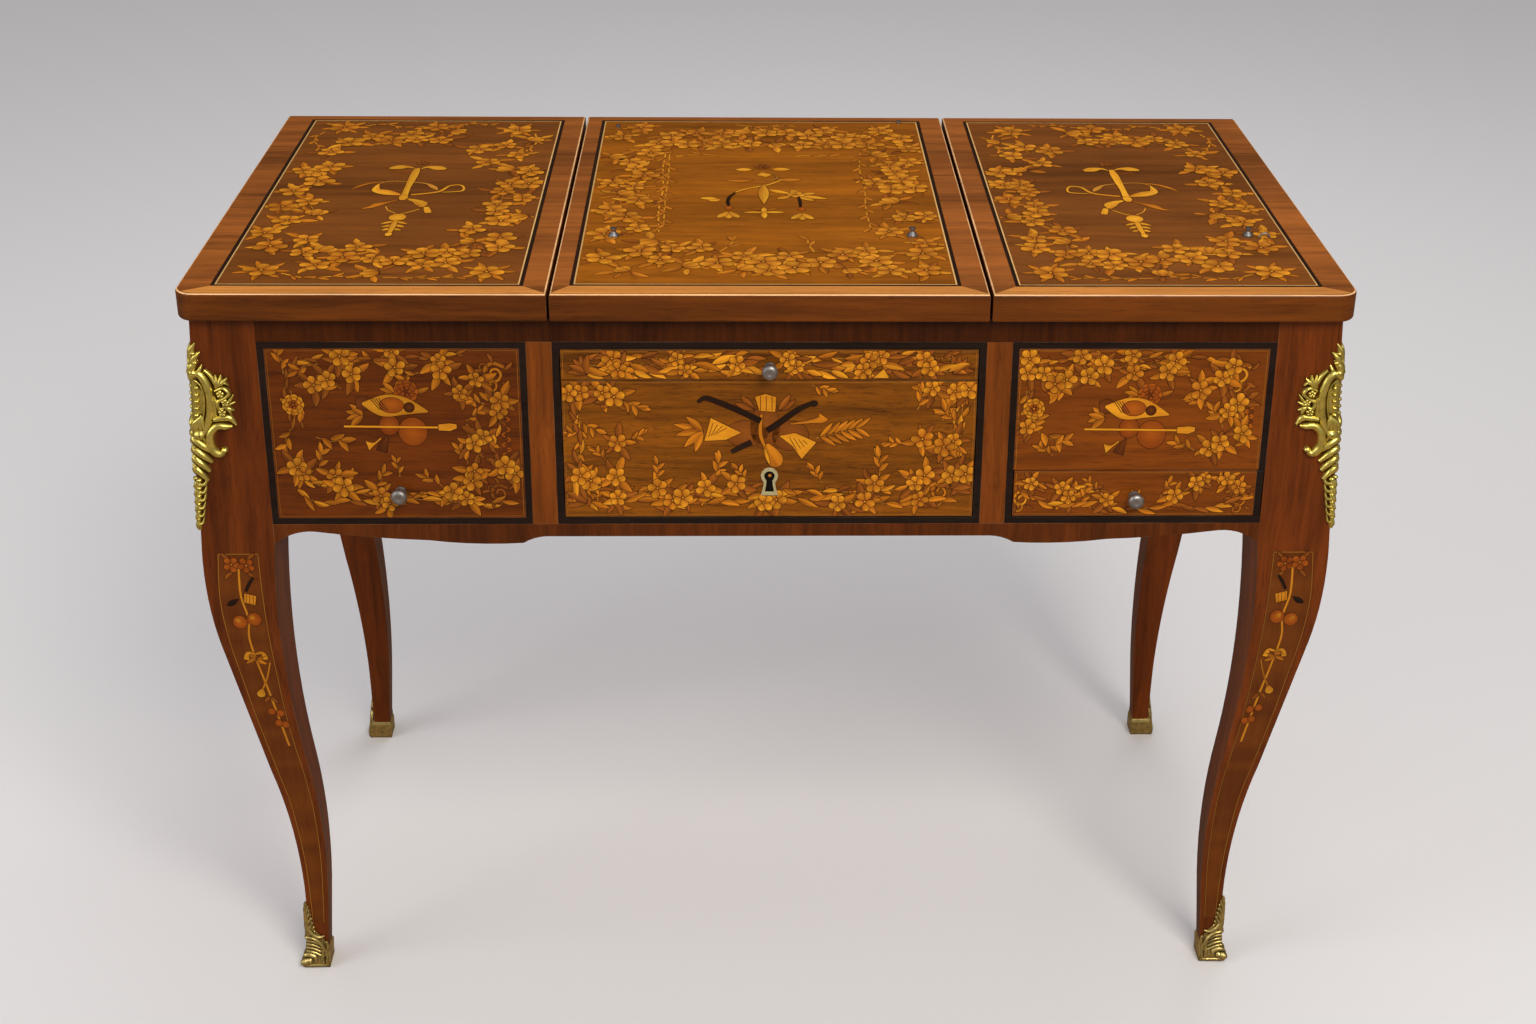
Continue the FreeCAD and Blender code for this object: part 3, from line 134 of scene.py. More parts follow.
# %% [markdown]
# A picture of furniture is convincing when the camera stands where a person would stand. The lens,
# the height and the tilt below belong together: a long lens, a little above eye level of a seated
# person, looking down on the lids. A camera can be turned by three angles, but it is easier to be
# sure of a matrix whose columns are the camera's own right, up and back.

# %% The camera
CAMERA_PLACE = Vector((-0.0240, -1.9790, 1.3773))
CAMERA_DOWN = 0.460628
CAMERA_YAW = 0.0295115
CAMERA_ROLL = 0.0116206
LENS_MM = 50.90
SENSOR_MM = 36.0
SHIFT_ACROSS = -0.0205


def camera_turn(down, yaw, roll):
    """The camera's right, up and back as the columns of a rotation."""
    ahead = Vector((math.sin(yaw) * math.cos(down), math.cos(yaw) * math.cos(down), -math.sin(down)))
    level = Vector((math.cos(yaw), -math.sin(yaw), 0))
    above = level.cross(ahead)
    right = level * math.cos(roll) + above * math.sin(roll)
    up = above * math.cos(roll) - level * math.sin(roll)
    return Matrix((right, up, -ahead)).transposed()


camera = bpy.data.objects.new("camera", bpy.data.cameras.new("camera"))
bpy.context.scene.collection.objects.link(camera)
camera.data.lens = LENS_MM
camera.data.sensor_width = SENSOR_MM
camera.data.shift_x = SHIFT_ACROSS
turned = camera_turn(CAMERA_DOWN, CAMERA_YAW, CAMERA_ROLL).to_4x4()
camera.matrix_world = Matrix.Translation(CAMERA_PLACE) @ turned
bpy.context.scene.camera = camera
print("camera looks along", list(turned.col[2].xyz * -1))

# %% [markdown]
# Polished wood is mostly reflections, so the room matters as much as the lamps. One broad soft lamp
# in front and above gives the edges their gleam, a weaker one opens the shadows on the left, a third
# behind the table lifts its rear edge, and the sky of the world fills the rest. A rule to keep: a
# white sheet in this light should look white, not brighter, so the colours below can be written as
# they are on the real thing.

# %% The studio
FLOOR_COLOUR = (0.60, 0.575, 0.56, 1)
SKY_COLOUR = (0.80, 0.79, 0.83, 1)
SKY_STRENGTH = 0.55
FLOOR_SIZE = 14.0


def new_object(name, mesh):
    made = bpy.data.objects.new(name, mesh)
    bpy.context.scene.collection.objects.link(made)
    return made


def soft_lamp(name, place, target, size, watts, colour):
    """A square lamp that faces its target."""
    light = bpy.data.lights.new(name, "AREA")
    light.size = size
    light.energy = watts
    light.color = colour
    lamp = new_object(name, light)
    lamp.location = place
    lamp.rotation_euler = (Vector(target) - Vector(place)).to_track_quat("-Z", "Y").to_euler()
    return lamp


# each lamp's place, the spot that it faces, its size in metres, its watts and its colour
LAMPS = {
    "key_lamp": ((0.9, -2.5, 2.9), (0, 0, 0.55), 1.4, 68, (1.0, 0.96, 0.89)),
    "fill_lamp": ((-2.8, -1.3, 1.9), (0, 0, 0.45), 1.8, 24, (0.97, 0.98, 1.0)),
    "back_lamp": ((0.6, 2.0, 3.0), (0, 0, 0.7), 1.8, 20, (1.0, 1.0, 1.0)),
}
lamps = {name: soft_lamp(name, *settings) for name, settings in LAMPS.items()}
lamps["back_lamp"].visible_glossy = False

bpy.context.scene.view_settings.view_transform = "Standard"

half = FLOOR_SIZE / 2
floor_mesh = bpy.data.meshes.new("floor")
floor_mesh.from_pydata([(-half, -half, 0), (half, -half, 0), (half, half, 0), (-half, half, 0)],
                       [], [(0, 1, 2, 3)])
floor = new_object("floor", floor_mesh)
print("floor", FLOOR_SIZE, "m across")

# %% [markdown]
# A pale room lays a grey veil on dark polish, because every glossy surface mirrors it. A photographer
# hangs black cloth out of the picture to get rid of the veil. The Light Path node does the same here:
# rays that left a glossy surface see a dim sky, darkest behind the table where the lids mirror it, and
# a brown floor. All other rays see the pale ones, and the camera itself sees the floor paler still.

# %% Black cloth for the reflections
SKY_IN_REFLECTIONS = (0.42, 0.41, 0.42, 1)
CLOTH_IN_REFLECTIONS = (0.06, 0.055, 0.055, 1)
FLOOR_IN_REFLECTIONS = (0.30, 0.22, 0.16, 1)
FLOOR_IN_PICTURE = (0.86, 0.84, 0.83, 1)
FLOOR_ROUGHNESS = 0.75
CLOTH_EDGE = 0.45


def glossy_ray(tree):
    return tree.nodes.new("ShaderNodeLightPath").outputs["Is Glossy Ray"]


world = bpy.data.worlds.new("studio")
bpy.context.scene.world = world
world.use_nodes = True
sky_tree = world.node_tree
sky = sky_tree.nodes["Background"]
direction = sky_tree.nodes.new("ShaderNodeTexCoord").outputs["Generated"]
towards_back = add(sky_tree, "ShaderNodeSeparateXYZ", None, {0: direction}).outputs["Y"]
cloth = add(sky_tree, "ShaderNodeMapRange", {"clamp": True},
            {"Value": towards_back, "From Min": 0.0, "From Max": CLOTH_EDGE}).outputs[0]
in_reflections = mix_colours(sky_tree, cloth, SKY_IN_REFLECTIONS, CLOTH_IN_REFLECTIONS)
sky_tree.links.new(mix_colours(sky_tree, glossy_ray(sky_tree), SKY_COLOUR, in_reflections),
                   sky.inputs["Color"])
sky.inputs["Strength"].default_value = SKY_STRENGTH

floor_paint, floor_tree, floor_shader = new_material("floor paint")
camera_ray = floor_tree.nodes.new("ShaderNodeLightPath").outputs["Is Camera Ray"]
lit_floor = mix_colours(floor_tree, camera_ray, FLOOR_COLOUR, FLOOR_IN_PICTURE)
floor_tree.links.new(mix_colours(floor_tree, glossy_ray(floor_tree), lit_floor, FLOOR_IN_REFLECTIONS),
                     floor_shader.inputs["Base Color"])
floor_shader.inputs["Roughness"].default_value = FLOOR_ROUGHNESS
floor.data.materials.append(floor_paint)
print("sky and floor painted")

# %% [markdown]
# Grain has three scales. Broad bands follow the growth of the tree, fine streaks run through them,
# and short dark pores are cut open by the plane. All three are noise stretched along one direction,
# so a single group can draw any wood if it is told which way the grain runs, how tightly it is drawn
# and which two colours it moves between. It puts out a colour, a gloss value and a height.

# %% The grain group
def build_grain_group():
    group, given = new_group("wood grain", {
        "Vector": ("NodeSocketVector", None),
        "Dark": ("NodeSocketColor", (0.1, 0.04, 0.02, 1)),
        "Light": ("NodeSocketColor", (0.3, 0.12, 0.05, 1)),
        "Along": ("NodeSocketFloat", 7.0),
        "Across": ("NodeSocketFloat", 190.0),
        "Seed": ("NodeSocketFloat", 0.0),
        "Pores": ("NodeSocketFloat", 0.5),
        "Roughness": ("NodeSocketFloat", 0.38),
    }, {"Color": "NodeSocketColor", "Roughness": "NodeSocketFloat", "Height": "NodeSocketFloat"})
    stretch = add(group, "ShaderNodeCombineXYZ", None,
                  {0: given["Along"], 1: given["Across"], 2: given["Across"]}).outputs[0]
    shift = add(group, "ShaderNodeCombineXYZ", None,
                {0: given["Seed"], 1: given["Seed"], 2: given["Seed"]}).outputs[0]
    wander = add(group, "ShaderNodeTexNoise", None,
                 {"Vector": given["Vector"], "Scale": 9.0, "Detail": 2.0}).outputs["Color"]
    bent = add(group, "ShaderNodeVectorMath", {"operation": "MULTIPLY_ADD"},
               {0: wander, 1: (0.0, 0.012, 0.012), 2: given["Vector"]}).outputs[0]
    drawn = add(group, "ShaderNodeVectorMath", {"operation": "MULTIPLY_ADD"},
                {0: bent, 1: stretch, 2: shift}).outputs[0]
    streaks = add(group, "ShaderNodeTexNoise", None,
                  {"Vector": drawn, "Scale": 1.0, "Detail": 7.0, "Roughness": 0.62}).outputs[0]
    broad = add(group, "ShaderNodeVectorMath", {"operation": "SCALE"},
                {0: drawn, "Scale": 0.13}).outputs[0]
    bands = add(group, "ShaderNodeTexNoise", None,
                {"Vector": broad, "Scale": 1.0, "Detail": 3.0, "Roughness": 0.5}).outputs[0]
    fine = add(group, "ShaderNodeVectorMath", {"operation": "SCALE"},
               {0: drawn, "Scale": 5.5}).outputs[0]
    cells = add(group, "ShaderNodeTexNoise", None,
                {"Vector": fine, "Scale": 1.0, "Detail": 3.0, "Roughness": 0.5}).outputs[0]
    pores = add(group, "ShaderNodeMapRange", {"clamp": True},
                {"Value": cells, "From Min": 0.56, "From Max": 0.74}).outputs[0]
    tone = math_node(group, "ADD", math_node(group, "MULTIPLY", streaks, 0.55),
                     math_node(group, "MULTIPLY", bands, 0.45))
    tone = add(group, "ShaderNodeMapRange", {"clamp": True},
               {"Value": tone, "From Min": 0.32, "From Max": 0.66}).outputs[0]
    colour = mix_colours(group, tone, given["Dark"], given["Light"])
    depth = math_node(group, "MULTIPLY", pores, given["Pores"])
    shaded = mix_colours(group, depth, colour, mix_colours(group, 0.75, colour, (0, 0, 0, 1)))
    gloss = math_node(group, "ADD", given["Roughness"], math_node(group, "MULTIPLY", depth, 0.25))
    height = math_node(group, "SUBTRACT", math_node(group, "MULTIPLY", streaks, 0.3), depth)
    give_out(group, Color=shaded, Roughness=gloss, Height=height)
    return group


grain_group = build_grain_group()
print("grain group:", len(grain_group.nodes), "nodes")

# %% [markdown]
# Two centuries of hands and dusters leave traces that are the same on every wood. The polish is thinner
# and paler along the arrises, and darker in blotches where it has built up. The pale arris colour also
# serves as a painted highlight, standing in for the gleam that a rounded edge catches from the lamps. The
# wear group finds the arrises by comparing the true normal with one that is rounded over a small radius,
# which Cycles can do by itself. It puts out a mask for the worn and highlighted edges, one for the dark
# build-up, and the rounded normal, so that a sharp model still shows a soft arris.

# %% The wear and highlight group
def build_wear_and_highlight_group():
    group, given = new_group("edge wear and highlight", {
        "Vector": ("NodeSocketVector", None),
        "Radius": ("NodeSocketFloat", 0.0008),
    }, {"Worn": "NodeSocketFloat", "Soiling": "NodeSocketFloat", "Normal": "NodeSocketVector"})
    rounded = add(group, "ShaderNodeBevel", {"samples": 4}, {"Radius": given["Radius"]}).outputs[0]
    normal = add(group, "ShaderNodeNewGeometry").outputs["Normal"]
    facing = add(group, "ShaderNodeVectorMath", {"operation": "DOT_PRODUCT"},
                 {0: rounded, 1: normal}).outputs["Value"]
    edge = add(group, "ShaderNodeMapRange", {"clamp": True},
               {"Value": facing, "From Min": 0.995, "From Max": 0.86}).outputs[0]
    patches = add(group, "ShaderNodeTexNoise", None,
                  {"Vector": given["Vector"], "Scale": 26.0, "Detail": 5.0}).outputs[0]
    patches = add(group, "ShaderNodeMapRange", {"clamp": True},
                  {"Value": patches, "From Min": 0.38, "From Max": 0.62}).outputs[0]
    clouds = add(group, "ShaderNodeTexNoise", None,
                 {"Vector": given["Vector"], "Scale": 7.0, "Detail": 6.0, "Roughness": 0.6}).outputs[0]
    clouds = add(group, "ShaderNodeMapRange", {"clamp": True},
                 {"Value": clouds, "From Min": 0.45, "From Max": 0.75}).outputs[0]
    # the arrises come out pale: real wear of the polish, and a painted highlight where a rounded edge
    # would catch the lamps
    give_out(group, Worn=math_node(group, "MULTIPLY", edge, patches), Soiling=clouds, Normal=rounded)
    return group


wear_and_highlight_group = build_wear_and_highlight_group()
print("wear group:", len(wear_and_highlight_group.nodes), "nodes")

# %% [markdown]
# Every wood of the table is now one call. The grain needs a vector whose first axis runs along the
# fibres, so a Mapping node turns the object's own coordinates: a rail is cut with its grain upright,
# a lid with its grain from side to side. French polish is a clear skin over the wood, which is what
# the coat of the Principled shader stands for.

# %% Woods
GRAIN_TURNS = {
    "x": (0, 0, 0),
    "y": (0, 0, math.radians(-90)),
    "z": (0, math.radians(90), 0),
}


def place_group(tree, group, **inputs):
    """Put a group in a material; a name's underscore stands for a space."""
    words = {label.replace("_", " "): value for label, value in inputs.items()}
    return add(tree, "ShaderNodeGroup", {"node_tree": group}, words)


WOOD_COAT = 0.10
WOOD_COAT_ROUGH = 0.14
WOOD_SPECULAR = 0.12
GRAIN_BUMP = 0.12
GRAIN_DEPTH = 0.0004
# colours of the arrises, real wear and painted highlight in one, and how much of them shows
BROWN_WEAR_AND_HIGHLIGHT = (0.42, 0.20, 0.08, 1)
GOLDEN_WEAR_AND_HIGHLIGHT = (0.50, 0.27, 0.11, 1)
WEAR_AND_HIGHLIGHT_SHARE = 0.7
SOIL = (0.012, 0.004, 0.001, 1)
SOIL_DEPTH = 0.6
SOILED_SHARE = 0.35


# worn is the colour of the arrises: real wear of the polish together with a painted highlight
def wood(name, colour, spread, grain, along, across, seed, pores=0.5, rough=0.40, coat=WOOD_COAT,
         worn=BROWN_WEAR_AND_HIGHLIGHT):
    """A polished wood with its grain along an axis; spread is the contrast of the grain."""
    made, tree, shader = new_material(name)
    place = add(tree, "ShaderNodeTexCoord").outputs["Object"]
    vector = add(tree, "ShaderNodeMapping", None,
                 {"Vector": place, "Rotation": GRAIN_TURNS[grain]}).outputs[0]
    dark = tuple(value * (1 - spread) for value in colour) + (1,)
    light = tuple(value * (1 + spread) for value in colour) + (1,)
    drawn = place_group(tree, grain_group, Vector=vector, Dark=dark, Light=light, Along=along,
                        Across=across, Seed=seed, Pores=pores, Roughness=rough)
    wear = place_group(tree, wear_and_highlight_group, Vector=place)
    # paler arrises: real wear, with a painted highlight laid in the same colour
    worn_and_highlit_colour = mix_colours(tree, math_node(tree, "MULTIPLY", wear.outputs["Worn"], WEAR_AND_HIGHLIGHT_SHARE),
                              drawn.outputs["Color"], worn)
    soiled = mix_colours(tree, math_node(tree, "MULTIPLY", wear.outputs["Soiling"], SOILED_SHARE),
                         worn_and_highlit_colour, mix_colours(tree, SOIL_DEPTH, worn_and_highlit_colour, SOIL))
    bump = add(tree, "ShaderNodeBump", None, {"Strength": GRAIN_BUMP, "Distance": GRAIN_DEPTH,
                                              "Height": drawn.outputs["Height"],
                                              "Normal": wear.outputs["Normal"]})
    tree.links.new(soiled, shader.inputs["Base Color"])
    tree.links.new(drawn.outputs["Roughness"], shader.inputs["Roughness"])
    tree.links.new(bump.outputs[0], shader.inputs["Normal"])
    shader.inputs["Coat Weight"].default_value = coat
    shader.inputs["Coat Roughness"].default_value = WOOD_COAT_ROUGH
    shader.inputs["Specular IOR Level"].default_value = WOOD_SPECULAR
    return made


post_wood = wood("post wood", paint(104, 46, 6), 0.60, "z", 5.0, 130.0, 3.0)
# the top rail is darker partly for its own wood and partly as painted shadow of the lids' overhang
rail_wood_with_painted_shadow = wood("rail wood with painted shadow", paint(64, 26, 0), 0.55, "z", 9.0, 210.0, 8.0)
apron_wood = wood("apron wood", paint(88, 40, 5), 0.55, "z", 9.0, 210.0, 9.0)
stile_wood = wood("stile wood", paint(126, 62, 11), 0.50, "z", 6.0, 150.0, 17.0)
side_wood = wood("side wood", paint(104, 47, 8), 0.50, "z", 5.0, 90.0, 21.0)
lid_wood = wood("lid wood", paint(150, 84, 30), 0.60, "x", 4.0, 70.0, 14.0, worn=GOLDEN_WEAR_AND_HIGHLIGHT)
# the front border strip is lighter as a painted sheen of the lid's front edge
front_border_wood_with_painted_sheen = wood("front border wood with painted sheen", paint(217, 139, 61), 0.30, "x", 4.0, 90.0, 77.0,
                   worn=GOLDEN_WEAR_AND_HIGHLIGHT)
lid_edge_wood = wood("lid edge wood", paint(96, 47, 6), 0.65, "x", 6.0, 130.0, 18.0,
                     worn=GOLDEN_WEAR_AND_HIGHLIGHT)
oak = wood("plain oak", paint(170, 130, 90), 0.25, "y", 8.0, 150.0, 5.0, rough=0.55, coat=0.03)
ebony = wood("ebonised pear", paint(34, 22, 16), 0.4, "x", 6.0, 200.0, 2.0, rough=0.34,
             worn=(0.10, 0.06, 0.04, 1))
drawer_wood = wood("drawer front wood", paint(126, 69, 4), 0.65, "x", 13.0, 210.0, 31.0, pores=0.9,
                   worn=GOLDEN_WEAR_AND_HIGHLIGHT)
panel_wood = wood("panel wood", paint(116, 56, 4), 0.50, "x", 9.0, 170.0, 40.0, pores=0.6,
                  worn=GOLDEN_WEAR_AND_HIGHLIGHT)
dark_panel_wood = wood("dark panel wood", paint(100, 45, 3), 0.45, "x", 9.0, 170.0, 44.0,
                       pores=0.6)
print(len(bpy.data.materials), "materials")

# %% [markdown]
# The metals share one idea: a bright base that has gone dull and dark wherever a cloth can't reach.
# Ambient occlusion finds those places on the model, so the hollows of a casting darken by
# themselves. The gilding is worn to an olive gold on the shoes, which get kicked, and stays brighter
# on the corner mounts.

# %% Metals, glass and leather
def build_metal_group():
    group, given = new_group("aged metal", {
        "Vector": ("NodeSocketVector", None),
        "Bright": ("NodeSocketColor", (0.7, 0.5, 0.2, 1)),
        "Dull": ("NodeSocketColor", (0.2, 0.12, 0.04, 1)),
        "Reach": ("NodeSocketFloat", 0.004),
        "Roughness": ("NodeSocketFloat", 0.3),
    }, {"Color": "NodeSocketColor", "Roughness": "NodeSocketFloat", "Height": "NodeSocketFloat"})
    hollow = add(group, "ShaderNodeAmbientOcclusion", {"samples": 6},
                 {"Distance": given["Reach"]}).outputs["AO"]
    open_share = add(group, "ShaderNodeMapRange", {"clamp": True},
                     {"Value": hollow, "From Min": 0.35, "From Max": 0.85}).outputs[0]
    spots = add(group, "ShaderNodeTexNoise", None,
                {"Vector": given["Vector"], "Scale": 160.0, "Detail": 5.0, "Roughness": 0.6}).outputs[0]
    clean = add(group, "ShaderNodeMapRange", {"clamp": True},
                {"Value": spots, "From Min": 0.30, "From Max": 0.58, "To Min": 0.5}).outputs[0]
    share = math_node(group, "MULTIPLY", open_share, clean)
    gloss = math_node(group, "ADD", given["Roughness"],
                      math_node(group, "MULTIPLY", math_node(group, "SUBTRACT", 1.0, share), 0.35))
    give_out(group, Color=mix_colours(group, share, given["Dull"], given["Bright"]), Roughness=gloss,
             Height=spots)
    return group


metal_group = build_metal_group()


HOLLOW_REACH = 0.004
METAL_ARRIS = 0.0004
METAL_BUMP = 0.10
METAL_DEPTH = 0.0006


def metal(name, bright, dull, rough):
    """A metal that is bright where a cloth reaches it and dull in its hollows."""
    made, tree, shader = new_material(name)
    place = add(tree, "ShaderNodeTexCoord").outputs["Object"]
    aged = place_group(tree, metal_group, Vector=place, Bright=bright, Dull=dull, Reach=HOLLOW_REACH,
                       Roughness=rough)
    wear = place_group(tree, wear_and_highlight_group, Vector=place, Radius=METAL_ARRIS)
    lumps = add(tree, "ShaderNodeBump", None, {"Strength": METAL_BUMP, "Distance": METAL_DEPTH,
                                               "Height": aged.outputs["Height"],
                                               "Normal": wear.outputs["Normal"]})
    tree.links.new(aged.outputs["Color"], shader.inputs["Base Color"])
    tree.links.new(aged.outputs["Roughness"], shader.inputs["Roughness"])
    tree.links.new(lumps.outputs[0], shader.inputs["Normal"])
    shader.inputs["Metallic"].default_value = 1.0
    return made


gilding = metal("gilt bronze", (1.0, 0.83, 0.20, 1), (0.20, 0.12, 0.012, 1), 0.30)
shoe_gilding = metal("worn gilt bronze", (0.80, 0.62, 0.22, 1), (0.10, 0.065, 0.020, 1), 0.34)
pale_brass = metal("pale brass", (1.0, 0.94, 0.58, 1), (0.50, 0.38, 0.14, 1), 0.52)
hinge_brass = metal("aged brass", (0.52, 0.38, 0.15, 1), (0.14, 0.09, 0.035, 1), 0.34)
dark_steel = metal("dark steel", (0.44, 0.42, 0.40, 1), (0.09, 0.085, 0.08, 1), 0.42)


def looking_glass():
    """Old silvered glass: bright, with cloudy spots."""
    made, tree, shader = new_material("mirror glass")
    place = add(tree, "ShaderNodeTexCoord").outputs["Object"]
    spots = add(tree, "ShaderNodeTexNoise", None,
                {"Vector": place, "Scale": 60.0, "Detail": 6.0}).outputs[0]
    foxed = add(tree, "ShaderNodeMapRange", {"clamp": True},
                {"Value": spots, "From Min": 0.62, "From Max": 0.75, "To Min": 0.04,
                 "To Max": 0.4}).outputs[0]
    tree.links.new(foxed, shader.inputs["Roughness"])
    shader.inputs["Base Color"].default_value = (0.80, 0.82, 0.82, 1)
    shader.inputs["Metallic"].default_value = 1.0
    return made


def old_leather():
    """Dark leather: a fine grain of cells, rubbed paler in patches."""
    made, tree, shader = new_material("tooled leather")
    place = add(tree, "ShaderNodeTexCoord").outputs["Object"]
    cells = add(tree, "ShaderNodeTexVoronoi", None,
                {"Vector": place, "Scale": 900.0}).outputs["Distance"]
    rubbed = add(tree, "ShaderNodeTexNoise", None,
                 {"Vector": place, "Scale": 14.0, "Detail": 5.0}).outputs[0]
    colour = mix_colours(tree, rubbed, (0.060, 0.020, 0.012, 1), (0.150, 0.060, 0.030, 1))
    bump = add(tree, "ShaderNodeBump", None, {"Strength": 0.25, "Distance": 0.0003, "Height": cells})
    tree.links.new(colour, shader.inputs["Base Color"])
    tree.links.new(bump.outputs[0], shader.inputs["Normal"])
    shader.inputs["Roughness"].default_value = 0.5
    return made


mirror = looking_glass()
leather = old_leather()
print("metals, glass and leather ready")

# %% [markdown]
# The plain carcass pieces only need their material. A cabinet maker veneers the posts and stiles with
# upright grain and the top rail crosswise, while the lids' grain runs along the table. The lids have three
# woods each: the border on top, the darker edge, and the small round between them, which hands have rubbed
# pale and which is painted paler still as the highlight that the arris catches.

# %% Materials on the carcass
FINISHES = {
    "leg_": post_wood, "front_top_rail": rail_wood_with_painted_shadow, "front_bottom_rail": apron_wood,
    "left_stile": stile_wood, "right_stile": stile_wood, "left_side_panel": side_wood,
    "right_side_panel": side_wood, "back_panel": side_wood, "left_band": ebony,
    "centre_band": ebony, "right_band": ebony, "right_drawer_end_band": ebony,
    "left_false_front": dark_panel_wood, "right_false_front": panel_wood, "slide_front": drawer_wood,
    "centre_drawer_front": drawer_wood, "right_drawer_front": panel_wood,
    "left_lid": lid_wood, "right_lid": lid_wood, "centre_lid": lid_wood,
    "sabot_": shoe_gilding, "chute_": gilding, "escutcheon": pale_brass, "lock_": dark_steel,
    "left_front_knob": dark_steel, "slide_knob": dark_steel, "right_drawer_knob": dark_steel,
    "right_lid_stud": dark_steel, "right_lid_hook": dark_steel, "centre_lid_studs": dark_steel,
    "hinge_pins": dark_steel, "mirror_glass": mirror, "slide_leather": leather,
}


def finish_for(name):
    if "hinge_leaves" in name:
        return hinge_brass
    starts = [start for start in FINISHES if name.startswith(start)]
    return FINISHES[max(starts, key=len)] if starts else oak


def dress(piece, material):
    piece.data.materials.clear()
    piece.data.materials.append(material)


for name, piece in nodes.items():
    dress(piece, finish_for(name))

TOP_FACING = 0.95
ARRIS_FACING = 0.6
TOP_SLOT, EDGE_SLOT, ARRIS_SLOT = 0, 1, 2
# the small round between a lid's top and its edge: rubbed pale, and painted paler as the highlight the
# arris catches
arris_wear_and_highlight = wood("arris wear and highlight", paint(240, 188, 132), 0.35, "x", 6.0, 130.0, 19.0)
for name in ("left_lid", "right_lid", "centre_lid"):
    mesh = nodes[name].data
    mesh.materials.append(lid_edge_wood)
    mesh.materials.append(arris_wear_and_highlight)
    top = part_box(name)[1].z
    for face in mesh.polygons:
        on_top = face.normal.z > TOP_FACING and face.center.z > top - MM
        on_arris = face.normal.z > ARRIS_FACING and not on_top
        face.material_index = TOP_SLOT if on_top else ARRIS_SLOT if on_arris else EDGE_SLOT
print("dressed", len(nodes), "pieces")

# %% [markdown]
# Floral marquetry is made as a packet: thin sheets of pale and stained woods are sawn along a drawing,
# the small pieces are dipped in hot sand so that one side scorches, and the whole picture is glued
# down and cut flush. Each petal, leaf and stem is therefore a piece with its own grain and its own
# burnt side, and a fine dark glue line runs round it. It cuts flat pieces along a spine, each over a
# slightly larger dark one, and lays them on a face.

# %% Colours of the veneers
VENEERS = {
    "petal": (paint(255, 174, 36), paint(158, 74, 10)),
    "leaf": (paint(232, 142, 24), paint(118, 56, 8)),
    "faded leaf": (paint(178, 100, 24), paint(98, 48, 10)),
    "stem": (paint(222, 150, 50), paint(122, 68, 20)),
    "yellow": (paint(255, 184, 40), paint(206, 118, 18)),
    "orange": (paint(200, 104, 16), paint(128, 54, 8)),
    "string": (paint(244, 204, 134), paint(178, 128, 66)),
    "brown": (paint(126, 64, 18), paint(70, 32, 8)),
    "black": (paint(50, 32, 20), paint(24, 15, 10)),
    "knee": (paint(126, 66, 14), paint(98, 48, 8)),
    "glue": (paint(70, 34, 8), paint(48, 24, 6)),
}


def veneer_shade(veneer, tone, light=1.0):
    """The colour of a veneer between burnt (tone 0) and clean (tone 1)."""
    clean, burnt = VENEERS[veneer]
    share = min(max(tone, 0.0), 1.0)
    return tuple(light * (dark + (bright - dark) * share) for bright, dark in zip(clean, burnt)) + (1.0,)


print(len(VENEERS), "veneers")

# %% [markdown]
# Coordinates on a face are millimetres across and up, because that is how one measures furniture. A
# smooth curve through a few chosen points is all a stem needs, and a row of half widths along a spine
# is all a petal or a leaf needs.

# %% Curves in the plane
def polar(centre, turn, distance):
    return centre[0] + distance * math.cos(turn), centre[1] + distance * math.sin(turn)


def smooth_curve(corners, steps=5):
    """Points on a smooth curve through the given corners."""
    padded = [corners[0]] + list(corners) + [corners[-1]]
    curve = []
    for before, start, end, after in zip(padded, padded[1:], padded[2:], padded[3:]):
        for step in range(steps):
            share = step / steps
            weights = (-share ** 3 + 2 * share ** 2 - share, 3 * share ** 3 - 5 * share ** 2 + 2,
                       -3 * share ** 3 + 4 * share ** 2 + share, share ** 3 - share ** 2)
            near = (before, start, end, after)
            curve.append(tuple(sum(weight * point[axis] for weight, point in zip(weights, near)) / 2
                               for axis in range(len(start))))
    return curve + [tuple(corners[-1])]


def side_directions(spine):
    """The direction to the left of a spine at each of its points."""
    sides = []
    for index in range(len(spine)):
        before = spine[max(index - 1, 0)]
        after = spine[min(index + 1, len(spine) - 1)]
        across, up = after[0] - before[0], after[1] - before[1]
        length = math.hypot(across, up) or 1.0
        sides.append((-up / length, across / length))
    return sides


print("a curve through 3 corners has", len(smooth_curve([(0, 0), (1, 1), (2, 0)])), "points")

# %% [markdown]
# All the pieces of veneer on one face are gathered into one mesh. The basic piece is a blade, a strip
# along a spine with a dark glue line under it. Petals, leaves, stems and ribbons are blades with
# widths of their own. The pieces lie a few hundredths of a millimetre apart in height, so that each
# one covers the next.

# %% The inlay
GLUE_LINE = 0.46
PETAL_SHARES = (0.0, 0.25, 0.5, 0.74, 0.92, 1.0)
PETAL_WIDTH_SHARES = (0.28, 0.64, 0.94, 0.94, 0.58, 0.08)
LEAF_SHARES = (0.0, 0.2, 0.42, 0.64, 0.84, 1.0)
LEAF_WIDTH_SHARES = (0.14, 0.72, 1.0, 0.84, 0.46, 0.05)
STEM_LIFT = 0.12
LEAF_LIFT = 0.17
FLOWER_LIFT = 0.27
LIFT_STEP = 0.05
PETAL_STEP = 0.008
GLUE_SINK = PETAL_STEP / 2
DISC_RING_SHARES = (0.02, 0.6, 1.0)
DISC_TONE_SHARES = (0.0, 0.6, 1.0)
RIBBON_STEPS = 6
SPRIG_BEND = 0.4


def cut_to(limits, across, up):
    """The nearest point inside a rectangle, as a saw would cut pieces off at an edge."""
    low, high = limits
    return min(max(across, low[0]), high[0]), min(max(up, low[1]), high[1])


